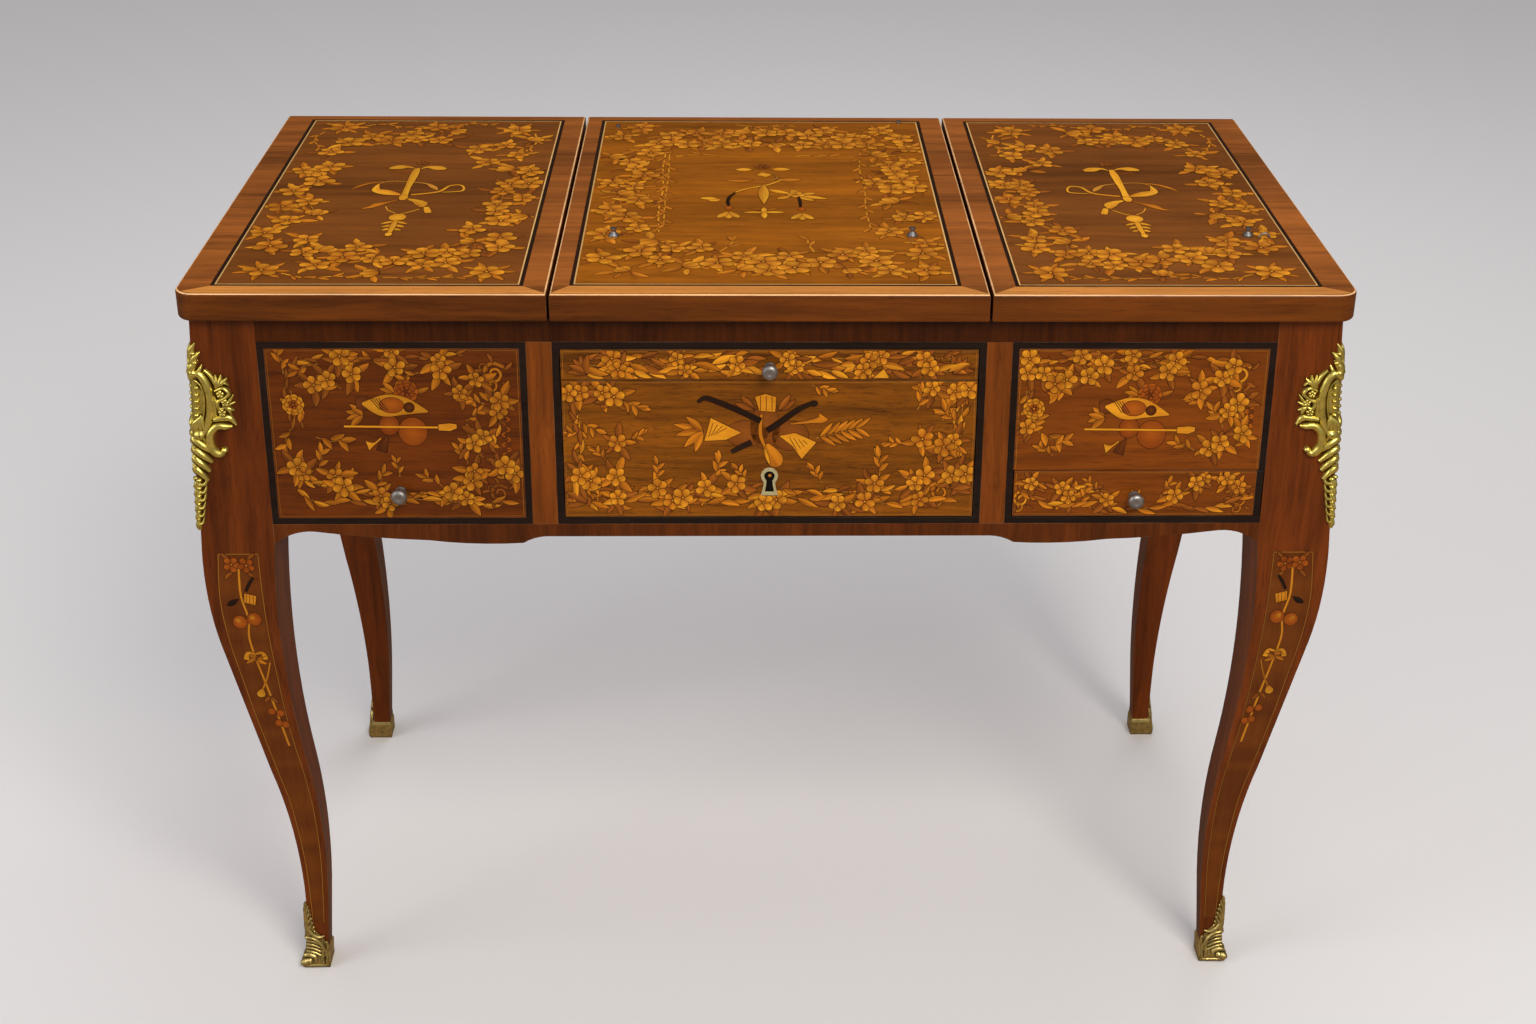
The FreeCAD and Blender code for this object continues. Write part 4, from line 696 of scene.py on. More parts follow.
class Inlay:
    """Pieces of veneer on one face of the table, gathered into one mesh."""

    def __init__(self, place, seed, mirrored=False, limits=None, light=1.0):
        self.place = place
        self.light = light
        self.limits = limits
        self.random = random.Random(seed)
        self.mirror = -1 if mirrored else 1
        self.points, self.faces, self.colours, self.grain = [], [], [], []
        self.count = 0

    def lay_rows(self, rows, shades, lift, turn=0.0):
        """One piece as rows of points, each row with its colours."""
        start = len(self.points)
        slide = self.random.uniform(0, 900), self.random.uniform(0, 900)
        cosine, sine = math.cos(turn), math.sin(turn)
        for row, row_shades in zip(rows, shades):
            for (across, up), shade in zip(row, row_shades):
                if self.limits:
                    across, up = cut_to(self.limits, across, up)
                self.points.append(self.place(across * self.mirror, up, lift))
                self.colours.append(shade)
                self.grain.append((MM * (across * cosine + up * sine + slide[0]),
                                   MM * (up * cosine - across * sine + slide[1])))
        width = len(rows[0])
        for row in range(len(rows) - 1):
            for step in range(width - 1):
                first = start + row * width + step
                face = (first, first + 1, first + width + 1, first + width)
                self.faces.append(face if self.mirror < 0 else face[::-1])
        self.count += 1

    def blade(self, spine, widths, veneer, lift, tones=(0.35, 0.95), split=0.0, glue=GLUE_LINE):
        """A piece along a spine, with a half width at each point, over its dark glue line."""
        sides = side_directions(spine)
        first, last = spine[0], spine[-1]
        turn = math.atan2(last[1] - first[1], last[0] - first[0])
        if glue:
            grown = list(spine)
            grown[0] = polar(first, turn + math.pi, glue)
            grown[-1] = polar(last, turn, glue)
            rows = [[(point[0] + side[0] * way * (width + glue), point[1] + side[1] * way * (width + glue))
                     for way in (1, -1)] for point, side, width in zip(grown, sides, widths)]
            dark = veneer_shade("glue", self.random.random())
            self.lay_rows(rows, [[dark, dark]] * len(rows), lift - GLUE_SINK)
        light = self.light * self.random.uniform(0.80, 1.12)
        for way in (1, -1):
            rows, shades = [], []
            for index, (point, side, width) in enumerate(zip(spine, sides, widths)):
                share = index / (len(spine) - 1)
                tone = tones[0] + (tones[1] - tones[0]) * share + split * way
                edge = (point[0] + side[0] * way * width, point[1] + side[1] * way * width)
                rows.append([edge, point] if way > 0 else [point, edge])
                middle = veneer_shade(veneer, tone + 0.10, light)
                rim = veneer_shade(veneer, tone - 0.12, light)
                shades.append([rim, middle] if way > 0 else [middle, rim])
            self.lay_rows(rows, shades, lift, turn)

    def petal(self, centre, turn, length, width, lift, veneer="petal", tones=(0.25, 0.95)):
        spine = [polar(centre, turn, length * share) for share in PETAL_SHARES]
        self.blade(spine, [width * share for share in PETAL_WIDTH_SHARES], veneer, lift, tones)

    def leaf(self, base, turn, length, width, bend=0.0, veneer="leaf", lift=None):
        if lift is None:
            lift = LEAF_LIFT + self.random.uniform(0, LIFT_STEP)
        spine, point = [base], base
        for before, after in zip(LEAF_SHARES, LEAF_SHARES[1:]):
            point = polar(point, turn + bend * (before - 0.5), length * (after - before))
            spine.append(point)
        widths = [width * share for share in LEAF_WIDTH_SHARES]
        base_tone = self.random.uniform(0.30, 0.62)
        self.blade(spine, widths, veneer, lift, (base_tone, base_tone + 0.35),
                   self.random.choice((-0.16, 0.16)))

    def disc(self, centre, radii, veneer, lift, tones=(0.9, 0.5), sectors=18, glue=GLUE_LINE):
        """A round or oval piece, shaded from its middle to its rim."""
        layers = [(glue, "glue", (0.5, 0.5), lift - GLUE_SINK)] if glue else []
        layers.append((0.0, veneer, tones, lift))
        light = self.light * self.random.uniform(0.88, 1.08)
        for grow, wood_name, (inner, outer), height in layers:
            rows = []
            for share in DISC_RING_SHARES:
                row = []
                for step in range(sectors + 1):
                    angle = -math.tau * step / sectors
                    row.append((centre[0] + (radii[0] + grow) * share * math.cos(angle),
                                centre[1] + (radii[1] + grow) * share * math.sin(angle)))
                rows.append(row)
            shades = [[veneer_shade(wood_name, inner + (outer - inner) * share, light)] * (sectors + 1)
                      for share in DISC_TONE_SHARES]
            self.lay_rows(rows, shades, height)

    def blossom(self, centre, radius, lift=FLOWER_LIFT, petals=5, veneer="petal"):
        """An open flower: petals round a burnt heart."""
        turn = self.random.uniform(0, math.tau)
        level = lift + LIFT_STEP * (self.count % 7)
        light = self.random.choice((0.66, 0.82, 0.94, 1.0, 1.0))
        for number in range(petals):
            angle = turn + math.tau * number / petals + self.random.uniform(-0.14, 0.14)
            length = radius * self.random.uniform(0.86, 1.06)
            self.petal(polar(centre, angle, 0.10 * radius), angle, length, 0.42 * radius,
                       level + PETAL_STEP * number, veneer, (0.20 * light, light))
        heart_radii = (0.20 * radius, 0.20 * radius)
        self.disc(centre, heart_radii, "brown", level + PETAL_STEP * 6, (0.2, 0.7), 8, glue=0.0)
        seed_radii = (0.09 * radius, 0.09 * radius)
        self.disc(centre, seed_radii, "yellow", level + PETAL_STEP * 7, (1.0, 1.0), 6, glue=0.0)

    def bud(self, base, turn, size):
        """A flower seen from the side: three petals from one point."""
        for number, way in enumerate((-0.55, 0.55, 0.0)):
            self.petal(base, turn + way, size * (1.0 - 0.12 * abs(way)), 0.30 * size,
                       FLOWER_LIFT + PETAL_STEP * number, tones=(0.25, 0.85))

    def stem(self, corners, width=0.9, veneer="stem", lift=STEM_LIFT, tone=0.7, steps=5, glue=0.2):
        spine = smooth_curve(corners, steps)
        self.blade(spine, [width / 2] * len(spine), veneer, lift, (tone, tone), glue=glue)

    def ribbon(self, corners, widths, veneer, lift, tones=(0.5, 0.9), split=0.0):
        """A curved piece through corners, with a half width at each corner."""
        spine = smooth_curve(corners, RIBBON_STEPS)
        line = smooth_curve([(width, 0.0) for width in widths], RIBBON_STEPS)
        self.blade(spine, [max(width, 0.15) for width, _ in line], veneer, lift, tones, split)

    def sprig(self, base, turn, size, leaves):
        """A stem with leaves on both sides and one at its end."""
        middle = polar(base, turn, size * 0.5)
        end = polar(middle, turn + SPRIG_BEND, size * 0.35)
        self.stem([base, middle, end], 0.7, steps=3)
        for number in range(leaves - 1):
            share = 0.25 + 0.65 * number / max(leaves - 2, 1)
            way = 1 if number % 2 else -1
            foot = (base[0] + (end[0] - base[0]) * share, base[1] + (end[1] - base[1]) * share)
            self.leaf(foot, turn + way * 0.7, size * 0.52, size * 0.11, 0.5 * way)
        self.leaf(end, turn + SPRIG_BEND, size * 0.52, size * 0.11)

    def outline_piece(self, corners, veneer, lift, tone=0.8):
        """A free cut-out with straight sides and a dark line round it."""
        middle = (sum(point[0] for point in corners) / len(corners),
                  sum(point[1] for point in corners) / len(corners))
        closed = list(corners) + [corners[0]]
        shade = veneer_shade(veneer, tone, self.light * self.random.uniform(0.9, 1.05))
        deep = veneer_shade(veneer, tone - 0.2, 1.0)
        self.lay_rows([closed, [middle] * len(closed)], [[deep] * len(closed), [shade] * len(closed)],
                      lift)
        for start, end in zip(closed, closed[1:]):
            self.stem([start, end], 0.5, "glue", lift + PETAL_STEP, 0.5, 1, 0.0)

    def frame_line(self, low, high, width, veneer, lift, tone):
        """Four mitred strips inside a rectangle."""
        inner_low = (low[0] + width, low[1] + width)
        inner_high = (high[0] - width, high[1] - width)
        outer = [low, (high[0], low[1]), high, (low[0], high[1])]
        inner = [inner_low, (inner_high[0], inner_low[1]), inner_high, (inner_low[0], inner_high[1])]
        for number in range(4):
            follow = (number + 1) % 4
            shade = veneer_shade(veneer, tone, self.random.uniform(0.9, 1.1))
            self.lay_rows([[inner[number], outer[number]], [inner[follow], outer[follow]]],
                          [[shade] * 2] * 2, lift, math.pi / 2 * (number % 2))

    def glue_down(self, name, body, material):
        """Make the mesh and let it move with its body."""
        mesh = bpy.data.meshes.new(name)
        mesh.from_pydata(self.points, [], self.faces)
        colours = mesh.color_attributes.new("veneer", "FLOAT_COLOR", "POINT")
        colours.data.foreach_set("color", [value for colour in self.colours for value in colour])
        grain = mesh.uv_layers.new(name="grain")
        for corner, loop in zip(grain.data, mesh.loops):
            corner.uv = self.grain[loop.vertex_index]
        mesh.materials.append(material)
        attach(new_object(name, mesh), body)
        print(name, "has", self.count, "pieces and", len(self.faces), "faces")


# %% [markdown]
# One material serves all the inlaid pieces. The colour comes with the piece, and the grain follows
# the piece's own direction through a UV map that is laid along its spine.

# %% Material of the inlaid pieces
def marquetry_material():
    made, tree, shader = new_material("marquetry")
    piece = add(tree, "ShaderNodeVertexColor", {"layer_name": "veneer"}).outputs["Color"]
    place = add(tree, "ShaderNodeUVMap", {"uv_map": "grain"}).outputs[0]
    darker = mix_colours(tree, 1.0, piece, (0.72, 0.60, 0.44, 1), "MULTIPLY")
    drawn = place_group(tree, grain_group, Vector=place, Dark=darker, Light=piece, Along=60.0,
                        Across=900.0, Pores=0.35, Roughness=0.36)
    tree.links.new(drawn.outputs["Color"], shader.inputs["Base Color"])
    tree.links.new(drawn.outputs["Roughness"], shader.inputs["Roughness"])
    shader.inputs["Coat Weight"].default_value = WOOD_COAT
    shader.inputs["Coat Roughness"].default_value = WOOD_COAT_ROUGH
    shader.inputs["Specular IOR Level"].default_value = WOOD_SPECULAR
    return made


marquetry = marquetry_material()
print("marquetry material ready")

# %% [markdown]
# Each lid is laid out the same way. A border of straight-grained veneer frames a darker field, with a
# black line and a thin pale string between them, and the border's front strip is mitred and lighter, the
# lighter colour being a painted sheen of the front edge.
# On the field lies a garland of blossoms joined by stems, then an emblem in the middle. The field of
# the middle lid is paler, golden wood, and its garland is closer. A place function turns millimetres
# on the face into a point of the table. It measures the piece that carries the inlay, so the work
# stays on its face if a height changes.

# %% Fields and lines of the lids
def on_lid(name):
    """A place function for the top of a lid."""
    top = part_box(name)[1].z
    return lambda across, up, lift: Vector((across * MM, up * MM, top + lift * MM))


SIDE_FIELD = ((-472.0, -245.0), (-209.0, 250.0))
CENTRE_FIELD = ((-170.0, -244.0), (163.0, 250.0))
FIELD_LIFT = 0.04
LINE_LIFT = 0.08
DARK_LINE = 3.2
PALE_LINE = 1.2
PALE_LINE_INSET = 3.4
FIELD_MARGIN = 6.0

side_field_wood = wood("side field wood", paint(126, 70, 20), 0.42, "x", 6.0, 70.0, 51.0,
                       pores=0.35)
centre_field_wood = wood("centre field wood", paint(154, 86, 2), 0.42, "x", 9.0, 120.0, 64.0,
                         pores=0.6)


def inside(corners, margin):
    """The rectangle that lies a margin inside another."""
    (left, bottom), (right, top) = corners
    return (left + margin, bottom + margin), (right - margin, top - margin)


def lay_field(lid, corners, material, mirrored=False):
    """A sheet of veneer on a lid with its dark and pale lines."""
    (left, bottom), (right, top) = corners
    sheet = Inlay(on_lid(lid), 1, mirrored)
    shade = veneer_shade("leaf", 0.5)
    sheet.lay_rows([[(left, bottom), (right, bottom)], [(left, top), (right, top)]], [[shade] * 2] * 2,
                   FIELD_LIFT)
    sheet.glue_down(lid + "_field", lid, material)
    lines = Inlay(on_lid(lid), 2, mirrored)
    lines.frame_line((left, bottom), (right, top), DARK_LINE, "black", LINE_LIFT, 1.0)
    lines.frame_line(*inside(corners, PALE_LINE_INSET), PALE_LINE, "string", LINE_LIFT, 0.8)
    lines.glue_down(lid + "_lines", lid, marquetry)


def lay_front_border(lid, outline, mirrored=False):
    """The mitred strip along a lid's front edge, made lighter as a painted sheen, from its front and its
    rear outline.
    """
    strip = Inlay(on_lid(lid), 3, mirrored)
    shade = veneer_shade("leaf", 0.5)
    strip.lay_rows(outline, [[shade] * len(row) for row in outline], FIELD_LIFT)
    strip.glue_down(lid + "_front_border", lid, front_border_wood_with_painted_sheen)


SIDE_STRIP = ([(-493, -257.6), (-488, -260.8), (-481, -262.3), (-350, -262.4), (-188.6, -262.4)],
              [(-472, -245), (-470, -245), (-468, -245), (-350, -245), (-209, -245)])
CENTRE_STRIP = ([(-185.4, -262.4), (185.4, -262.4)], [(-170, -244), (163, -244)])
lay_front_border("left_lid", SIDE_STRIP)
lay_front_border("right_lid", SIDE_STRIP, mirrored=True)
lay_front_border("centre_lid", CENTRE_STRIP)
lay_field("left_lid", SIDE_FIELD, side_field_wood)
lay_field("right_lid", SIDE_FIELD, side_field_wood, mirrored=True)
lay_field("centre_lid", CENTRE_FIELD, centre_field_wood)

# %% [markdown]
# The blossoms of a garland are set one by one, close together at the front and looser at the sides, as a
# designer would prick them through a pattern. The rest follows from them: a stem runs from each blossom to
# the next one near it, with leaves that turn out to both sides.

# %% Garland of the side lids
SIDE_CORNERS = [(-434, 222), (-255, 213), (-436, -208), (-243, -211)]
SIDE_GARLAND = [
    (-340, 222), (-354, 178), (-330, 176), (-362, 195), (-318, 208), (-400, 187), (-380, 176),
    (-420, 168), (-434, 135), (-426, 85), (-437, 66), (-450, 75), (-430, 40), (-448, 10), (-428, -22),
    (-450, -36), (-416, -56), (-438, -76), (-452, -110), (-440, -146), (-412, -128), (-408, -162),
    (-392, -156), (-392, -194), (-372, -175), (-363, -148), (-346, -178), (-326, -184), (-340, -214),
    (-303, -164), (-302, -192), (-283, -162), (-264, -164), (-281, -188), (-266, -132), (-240, -122),
    (-238, -148), (-268, -100), (-244, -76), (-250, -50), (-226, -62), (-252, -30), (-250, 10),
    (-229, -10), (-246, 33), (-228, 34), (-252, 80), (-230, 72), (-274, 103), (-247, 127), (-288, 146),
    (-262, 158), (-236, 178)]
SIDE_TENDRILS = [
    [(-414, 226), (-395, 234), (-372, 222), (-350, 226)], [(-330, 226), (-305, 236), (-280, 232)],
    [(-452, 205), (-458, 180), (-448, 150), (-440, 140)], [(-236, 200), (-232, 170), (-240, 140)],
    [(-418, -214), (-395, -226), (-370, -222), (-345, -222)],
    [(-330, -224), (-300, -226), (-275, -224), (-255, -222)]]
BLOSSOM_RADIUS = 13.4
STEM_REACH = 46.0


def nearest_behind(blossoms, index):
    """The nearest blossom that comes earlier in the list, or nothing if none is near."""
    here = blossoms[index]
    gaps = [(math.dist(here, other), other) for other in blossoms[:index]]
    near = min(gaps, default=(STEM_REACH, None))
    return near[1] if near[0] < STEM_REACH else None


def garland(work, blossoms, radius, leaves=4):
    """Blossoms at their places, joined by stems, with leaves between."""
    for index, centre in enumerate(blossoms):
        other = nearest_behind(blossoms, index)
        if other:
            middle = ((centre[0] + other[0]) / 2 + work.random.uniform(-4, 4),
                      (centre[1] + other[1]) / 2 + work.random.uniform(-4, 4))
            work.stem([other, middle, centre], 1.0, tone=0.55)
        turn = work.random.uniform(0, math.tau)
        for number in range(leaves):
            angle = turn + math.tau * number / leaves + work.random.uniform(-0.4, 0.4)
            length = radius * work.random.uniform(0.95, 1.65)
            kind = work.random.choice(("leaf", "leaf", "leaf", "petal", "faded leaf"))
            work.leaf(polar(centre, angle, radius * 0.55), angle, length, length * 0.21,
                      work.random.uniform(-0.9, 0.9), kind)
    for index, centre in enumerate(blossoms):
        size = radius * work.random.uniform(0.82, 1.12)
        if index % 6 == 4:
            turn = work.random.uniform(0, math.tau)
            work.bud(polar(centre, turn, -0.4 * size), turn, size * 1.25)
        else:
            work.blossom(centre, size)


def tendril(work, corners, leaf_length, leaf_gap=9.0):
    """A thin wavy stem with small leaves on alternate sides."""
    work.stem(corners, 1.7, "petal", tone=0.75)
    spine = smooth_curve(corners, 8)
    walked, way = 0.0, 1
    for before, after in zip(spine, spine[1:]):
        walked += math.dist(before, after)
        if walked > leaf_gap:
            walked, way = 0.0, -way
            turn = math.atan2(after[1] - before[1], after[0] - before[0])
            work.leaf(after, turn + way * 0.6, leaf_length, leaf_length * 0.17, 0.3 * way, "leaf")


def corner_spray(work, centre, radius):
    """A blossom with long leaves standing out all round it."""
    for number in range(7):
        turn = math.tau * number / 7 + work.random.uniform(-0.2, 0.2)
        work.leaf(polar(centre, turn, radius * 0.5), turn, radius * 1.25, radius * 0.22, 0.3)
    work.blossom(centre, radius)


def torch_emblem(work):
    """A torch tied with ribbons, with two spoon-shaped leaves above and a leafy tassel below."""
    work.ribbon([(-340.5, 82), (-341, 66), (-341.5, 43), (-342, 22), (-342, -4)],
                [2.4, 3.9, 3.6, 2.9, 3.3], "yellow", 0.40, (0.7, 0.95), 0.1)
    work.disc((-342, -9), (4.4, 9.0), "yellow", 0.42, (0.95, 0.7), 10)
    work.ribbon([(-343, 81), (-350, 86), (-359, 85), (-368, 81)], [0.6, 2.6, 6.2, 1.8], "yellow", 0.30,
                (0.5, 0.9))
    work.ribbon([(-337, 80), (-331, 86), (-321, 83), (-313, 79)], [0.6, 2.4, 6.2, 2.4], "yellow", 0.30,
                (0.9, 0.6))
    work.ribbon([(-364, 72), (-354, 71), (-344, 72)], [0.6, 1.0, 0.8], "orange", 0.28)
    work.blossom((-338, 100), 6.0, 0.3, 5, "faded leaf")
    work.ribbon([(-346, -1), (-354, 3), (-362, 7), (-371, 14), (-371, 31)], [2.0, 5.0, 6.6, 4.2, 0.8],
                "yellow", 0.32, (0.3, 0.9), 0.12)
    work.ribbon([(-371, 32), (-363, 40), (-348, 40), (-327, 34), (-318, 23), (-313, 14)],
                [0.8, 1.2, 1.0, 1.2, 3.2, 0.8], "stem", 0.28, (0.6, 0.95))
    work.ribbon([(-395, 14), (-388, 26), (-377, 36), (-363, 40)], [0.5, 2.2, 1.4, 0.7], "leaf", 0.24)
    work.ribbon([(-336, -1), (-312, 8), (-303, 26), (-293, 29), (-288.5, 19), (-291, 10), (-308, 7)],
                [1.9, 1.8, 1.4, 1.2, 1.2, 1.2, 0.7], "yellow", 0.34, (0.5, 0.95))
    work.ribbon([(-346, -16), (-355, -24), (-363, -30), (-369, -38), (-376, -42)],
                [0.9, 1.8, 4.6, 2.6, 0.6], "leaf", 0.31, (0.5, 0.9))
    work.ribbon([(-337, -14), (-329, -19), (-323, -27), (-321, -37)], [1.8, 4.0, 6.0, 2.0], "yellow", 0.31,
                (0.9, 0.4), 0.12)
    work.ribbon([(-317, -37), (-315, -46), (-313, -54)], [2.4, 3.2, 3.0], "yellow", 0.33, (0.95, 0.7))
    work.stem([(-355, -35), (-351, -46), (-343, -55)], 1.1, "yellow")
    work.stem([(-323, -42), (-331, -51), (-339, -57)], 1.5, "yellow")
    work.disc((-339.5, -67), (8.0, 9.6), "yellow", 0.38, (1.0, 0.55))
    for number, up in enumerate((-77, -87, -97)):
        for way in (-1, 1):
            work.leaf((-340, up), -math.pi / 2 + way * 0.95, 15 - 2 * number, 2.5, 0.0, "yellow", 0.3)
    work.ribbon([(-340, -72), (-340, -92), (-341, -114)], [2.2, 2.6, 1.6], "yellow", 0.34)
    work.disc((-341, -114), (3.4, 5.0), "yellow", 0.36, (1.0, 0.6), 10)


for lid, mirrored, seed in (("left_lid", False, 11), ("right_lid", True, 12)):
    flowers = Inlay(on_lid(lid), seed, mirrored, inside(SIDE_FIELD, FIELD_MARGIN))
    for corner in SIDE_CORNERS:
        corner_spray(flowers, corner, BLOSSOM_RADIUS * 1.1)
    for corners in SIDE_TENDRILS:
        tendril(flowers, corners, 13.0, 10.0)
    garland(flowers, SIDE_GARLAND, BLOSSOM_RADIUS)
    torch_emblem(flowers)
    flowers.glue_down(lid + "_flowers", lid, marquetry)

# %% [markdown]
# The middle lid carries the richest garland. Its inner edge is marked by a fine double stem on the
# left and a single one on the right, and in the middle stand a small spray and two bell flowers.

# %% Garland of the middle lid
CENTRE_GARLAND = [
    (-128, 222), (-147, 190), (120, 215), (138, 186), (-125, -206), (105, -206), (136, -206),
    (-95, 195), (-70, 205), (-45, 200), (-20, 208), (0, 205), (24, 206), (45, 195), (62, 216), (80, 190),
    (100, 191), (-108, 166), (-80, 164), (-62, 168), (-42, 164), (-15, 166), (10, 165), (37, 163),
    (62, 166), (80, 165), (105, 163), (-115, 136), (-150, 120), (-133, 104), (-128, 82), (-118, 60),
    (-148, 38), (-128, 26), (-136, 4), (-120, -16), (-145, -45), (-130, -64), (-118, -95),
    (-148, -112), (-104, -132), (-114, -158), (-85, -150), (-60, -148), (-146, -175), (-95, -180),
    (-70, -195), (-45, -188), (-22, -170), (-5, -184), (18, -170), (0, -206), (-22, -202), (22, -200),
    (45, -186), (65, -166), (85, -156), (94, -182), (70, -204), (136, -162), (140, -135), (110, -104),
    (126, -64), (146, -60), (118, -18), (141, 22), (121, 20), (105, 42), (132, 50), (142, 106),
    (112, 130), (122, 96), (126, 74), (145, 150)]
CENTRE_TENDRILS = [
    [(-100, 135), (-101, 80), (-99, 20), (-101, -40), (-99, -105)],
    [(-96, 130), (-95, 60), (-96, -20), (-95, -90)],
    [(95, 135), (92, 80), (94, 20), (92, -40), (94, -105)],
    [(-45, -160), (-34, -140), (-30, -118)], [(40, -158), (36, -140), (35, -122)],
    [(-48, 128), (-66, 130), (-90, 126)], [(30, 126), (48, 128), (68, 126)],
    [(-30, 235), (0, 228), (30, 235)]]


def bell_flower(work, centre):
    """Three narrow petals that hang from a small cup."""
    work.disc((centre[0], centre[1] + 11), (3.6, 5.0), "orange", 0.3, (1.0, 0.6), 10)
    for way in (-0.5, 0.5, 0.0):
        work.petal(centre, -math.pi / 2 + way, 20, 3.6, 0.32 + 0.02 * abs(way), "yellow", (0.3, 0.9))


def bell_emblem(work):
    """Pairs of leaves over a long leaf, a cross flower and two drooping bell flowers."""
    work.blossom((-4, 90), 8.0, 0.3, 6, "faded leaf")
    work.leaf((-14, 80), math.pi, 16, 5.4, 0.0, "yellow", 0.3)
    work.leaf((6, 81), 0.0, 18, 5.4, 0.0, "yellow", 0.3)
    work.leaf((-13, 48), 3.2, 26, 6.6, -0.3, "leaf", 0.3)
    work.leaf((10, 47), 0.1, 24, 6.4, 0.3, "leaf", 0.3)
    work.outline_piece([(-10, 63), (-4, 72), (6, 64), (0, 56)], "yellow", 0.32, 0.8)
    work.ribbon([(6, 66), (11, 56), (6, 47), (-2, 44)], [0.5, 1.0, 1.0, 0.5], "stem", 0.3)
    work.ribbon([(14, 46), (0, 31), (-18, 21), (-30, 9)], [0.9, 1.2, 1.1, 0.9], "yellow", 0.34, (0.9, 0.9))
    work.ribbon([(-29, 10), (-35, -4), (-37, -18), (-36, -31)], [0.7, 1.3, 1.4, 0.9], "black", 0.33,
                (0.9, 0.6))
    work.leaf((-3, 32), -math.pi / 2, 58, 5.2, 0.0, "yellow", 0.36)
    for turn, length in ((3.14, 20), (0.0, 19), (1.57, 14), (-1.57, 18)):
        work.leaf((-3, -50), turn, length, 3.0, 0.0, "yellow", 0.32)
    for turn in (2.7, 0.45):
        work.leaf((-3, -44), turn, 13, 2.6, 0.0, "leaf", 0.30)
    for base, turn, length in (((2, 17), -0.5, 24), ((20, 4), 0.5, 15), ((34, 3), 0.35, 13),
                               ((34, -1), -0.35, 25), ((30, -2), -0.75, 20), ((22, -2), -2.5, 16),
                               ((-47, -10), 3.1, 17), ((-44, -13), 3.5, 12), ((27, 6), 1.9, 11)):
        work.leaf(base, turn, length, 4.2, 0.2, "yellow", 0.26 + 0.002 * length)
    work.blossom((27, 2), 8.0, 0.34, 5, "yellow")
    work.ribbon([(30, -4), (31, -20), (31, -34)], [0.8, 1.3, 0.8], "black", 0.33, (0.9, 0.6))
    bell_flower(work, (-36, -48))
    bell_flower(work, (32, -52))


centre_flowers = Inlay(on_lid("centre_lid"), 13, limits=inside(CENTRE_FIELD, FIELD_MARGIN))
for corners in CENTRE_TENDRILS:
    tendril(centre_flowers, corners, 15.0, 15.0)
garland(centre_flowers, CENTRE_GARLAND, BLOSSOM_RADIUS, 5)
bell_emblem(centre_flowers)
centre_flowers.glue_down("centre_lid_flowers", "centre_lid", marquetry)

# %% [markdown]
# The fronts stand almost upright, leaning back a little towards the top.

# %% Places on the fronts
RAY_START = -1.0
PROBE_SHARES = (0.15, 0.85)


def front_plane(name):
    """A place function for a flat front that may lean."""
    piece = nodes[name]
    low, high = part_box(name)
    tree = BVHTree.FromObject(piece, bpy.context.evaluated_depsgraph_get())
    across = low.x + PROBE_SHARES[0] * (high.x - low.x)
    found = []
    for share in PROBE_SHARES:
        start = Vector((across, RAY_START, low.z + share * (high.z - low.z)))
        found.append(tree.ray_cast(start, Vector((0, 1, 0)))[0])
    lean = (found[1].y - found[0].y) / (found[1].z - found[0].z)

    def place(across, up, lift):
        height = up * MM
        return Vector((across * MM, found[0].y + lean * (height - found[0].z) - lift * MM, height))

    return place


LINE_INSET = 1.8
LINE_WIDTH = 0.45
EDGE_MARGIN = 0.8


def front_inlay(name, seed, light=1.0):
    """An inlay on a front whose pieces are cut off at the front's edges."""
    low, high = (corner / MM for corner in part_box(name))
    limits = ((low.x + EDGE_MARGIN, low.z + EDGE_MARGIN), (high.x - EDGE_MARGIN, high.z - EDGE_MARGIN))
    return Inlay(front_plane(name), seed, limits=limits, light=light)


def front_lines(work, name, sides=("left", "right", "top", "bottom")):
    """Thin pale lines just inside the edges of a front."""
    low, high = (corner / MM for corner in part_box(name))
    left, right = low.x + LINE_INSET, high.x - LINE_INSET
    bottom, top = low.z + LINE_INSET, high.z - LINE_INSET
    runs = {"left": [(left, bottom), (left, top)], "right": [(right, bottom), (right, top)],
            "top": [(left, top), (right, top)], "bottom": [(left, bottom), (right, bottom)]}
    for side in sides:
        work.stem(runs[side], LINE_WIDTH, "stem", LINE_LIFT, 0.45, 12, 0.0)


print("left front leans", front_plane("left_false_front")(0, 600, 0).y)

# %% [markdown]
# The fronts repeat the lids' flowers at a smaller scale, with more long leaves. Along the lower edge
# the leaves link into a running garland, and at the corners it breaks into curled scrolls.

# %% Flowers of the fronts
FRONT_RADIUS = 8.2
FRONT_LEAVES = 5
BRAID_WIDTH = 3.4
BRAID_PITCH = 9.0
SCROLL_STEPS = 8


def small_flowers(work, blossoms, radius=FRONT_RADIUS):
    """Blossoms on a front, each with a few leaves, all of one size of flower."""
    for centre in blossoms:
        turn = work.random.uniform(0, math.tau)
        for number in range(FRONT_LEAVES):
            angle = turn + number * 1.26 + work.random.uniform(-0.4, 0.4)
            length = radius * work.random.uniform(1.3, 2.1)
            work.leaf(polar(centre, angle, radius * 0.45), angle, length, length * 0.21,
                      work.random.uniform(-0.8, 0.8), work.random.choice(("leaf", "faded leaf")))
        work.blossom(centre, radius * work.random.uniform(0.8, 1.08))


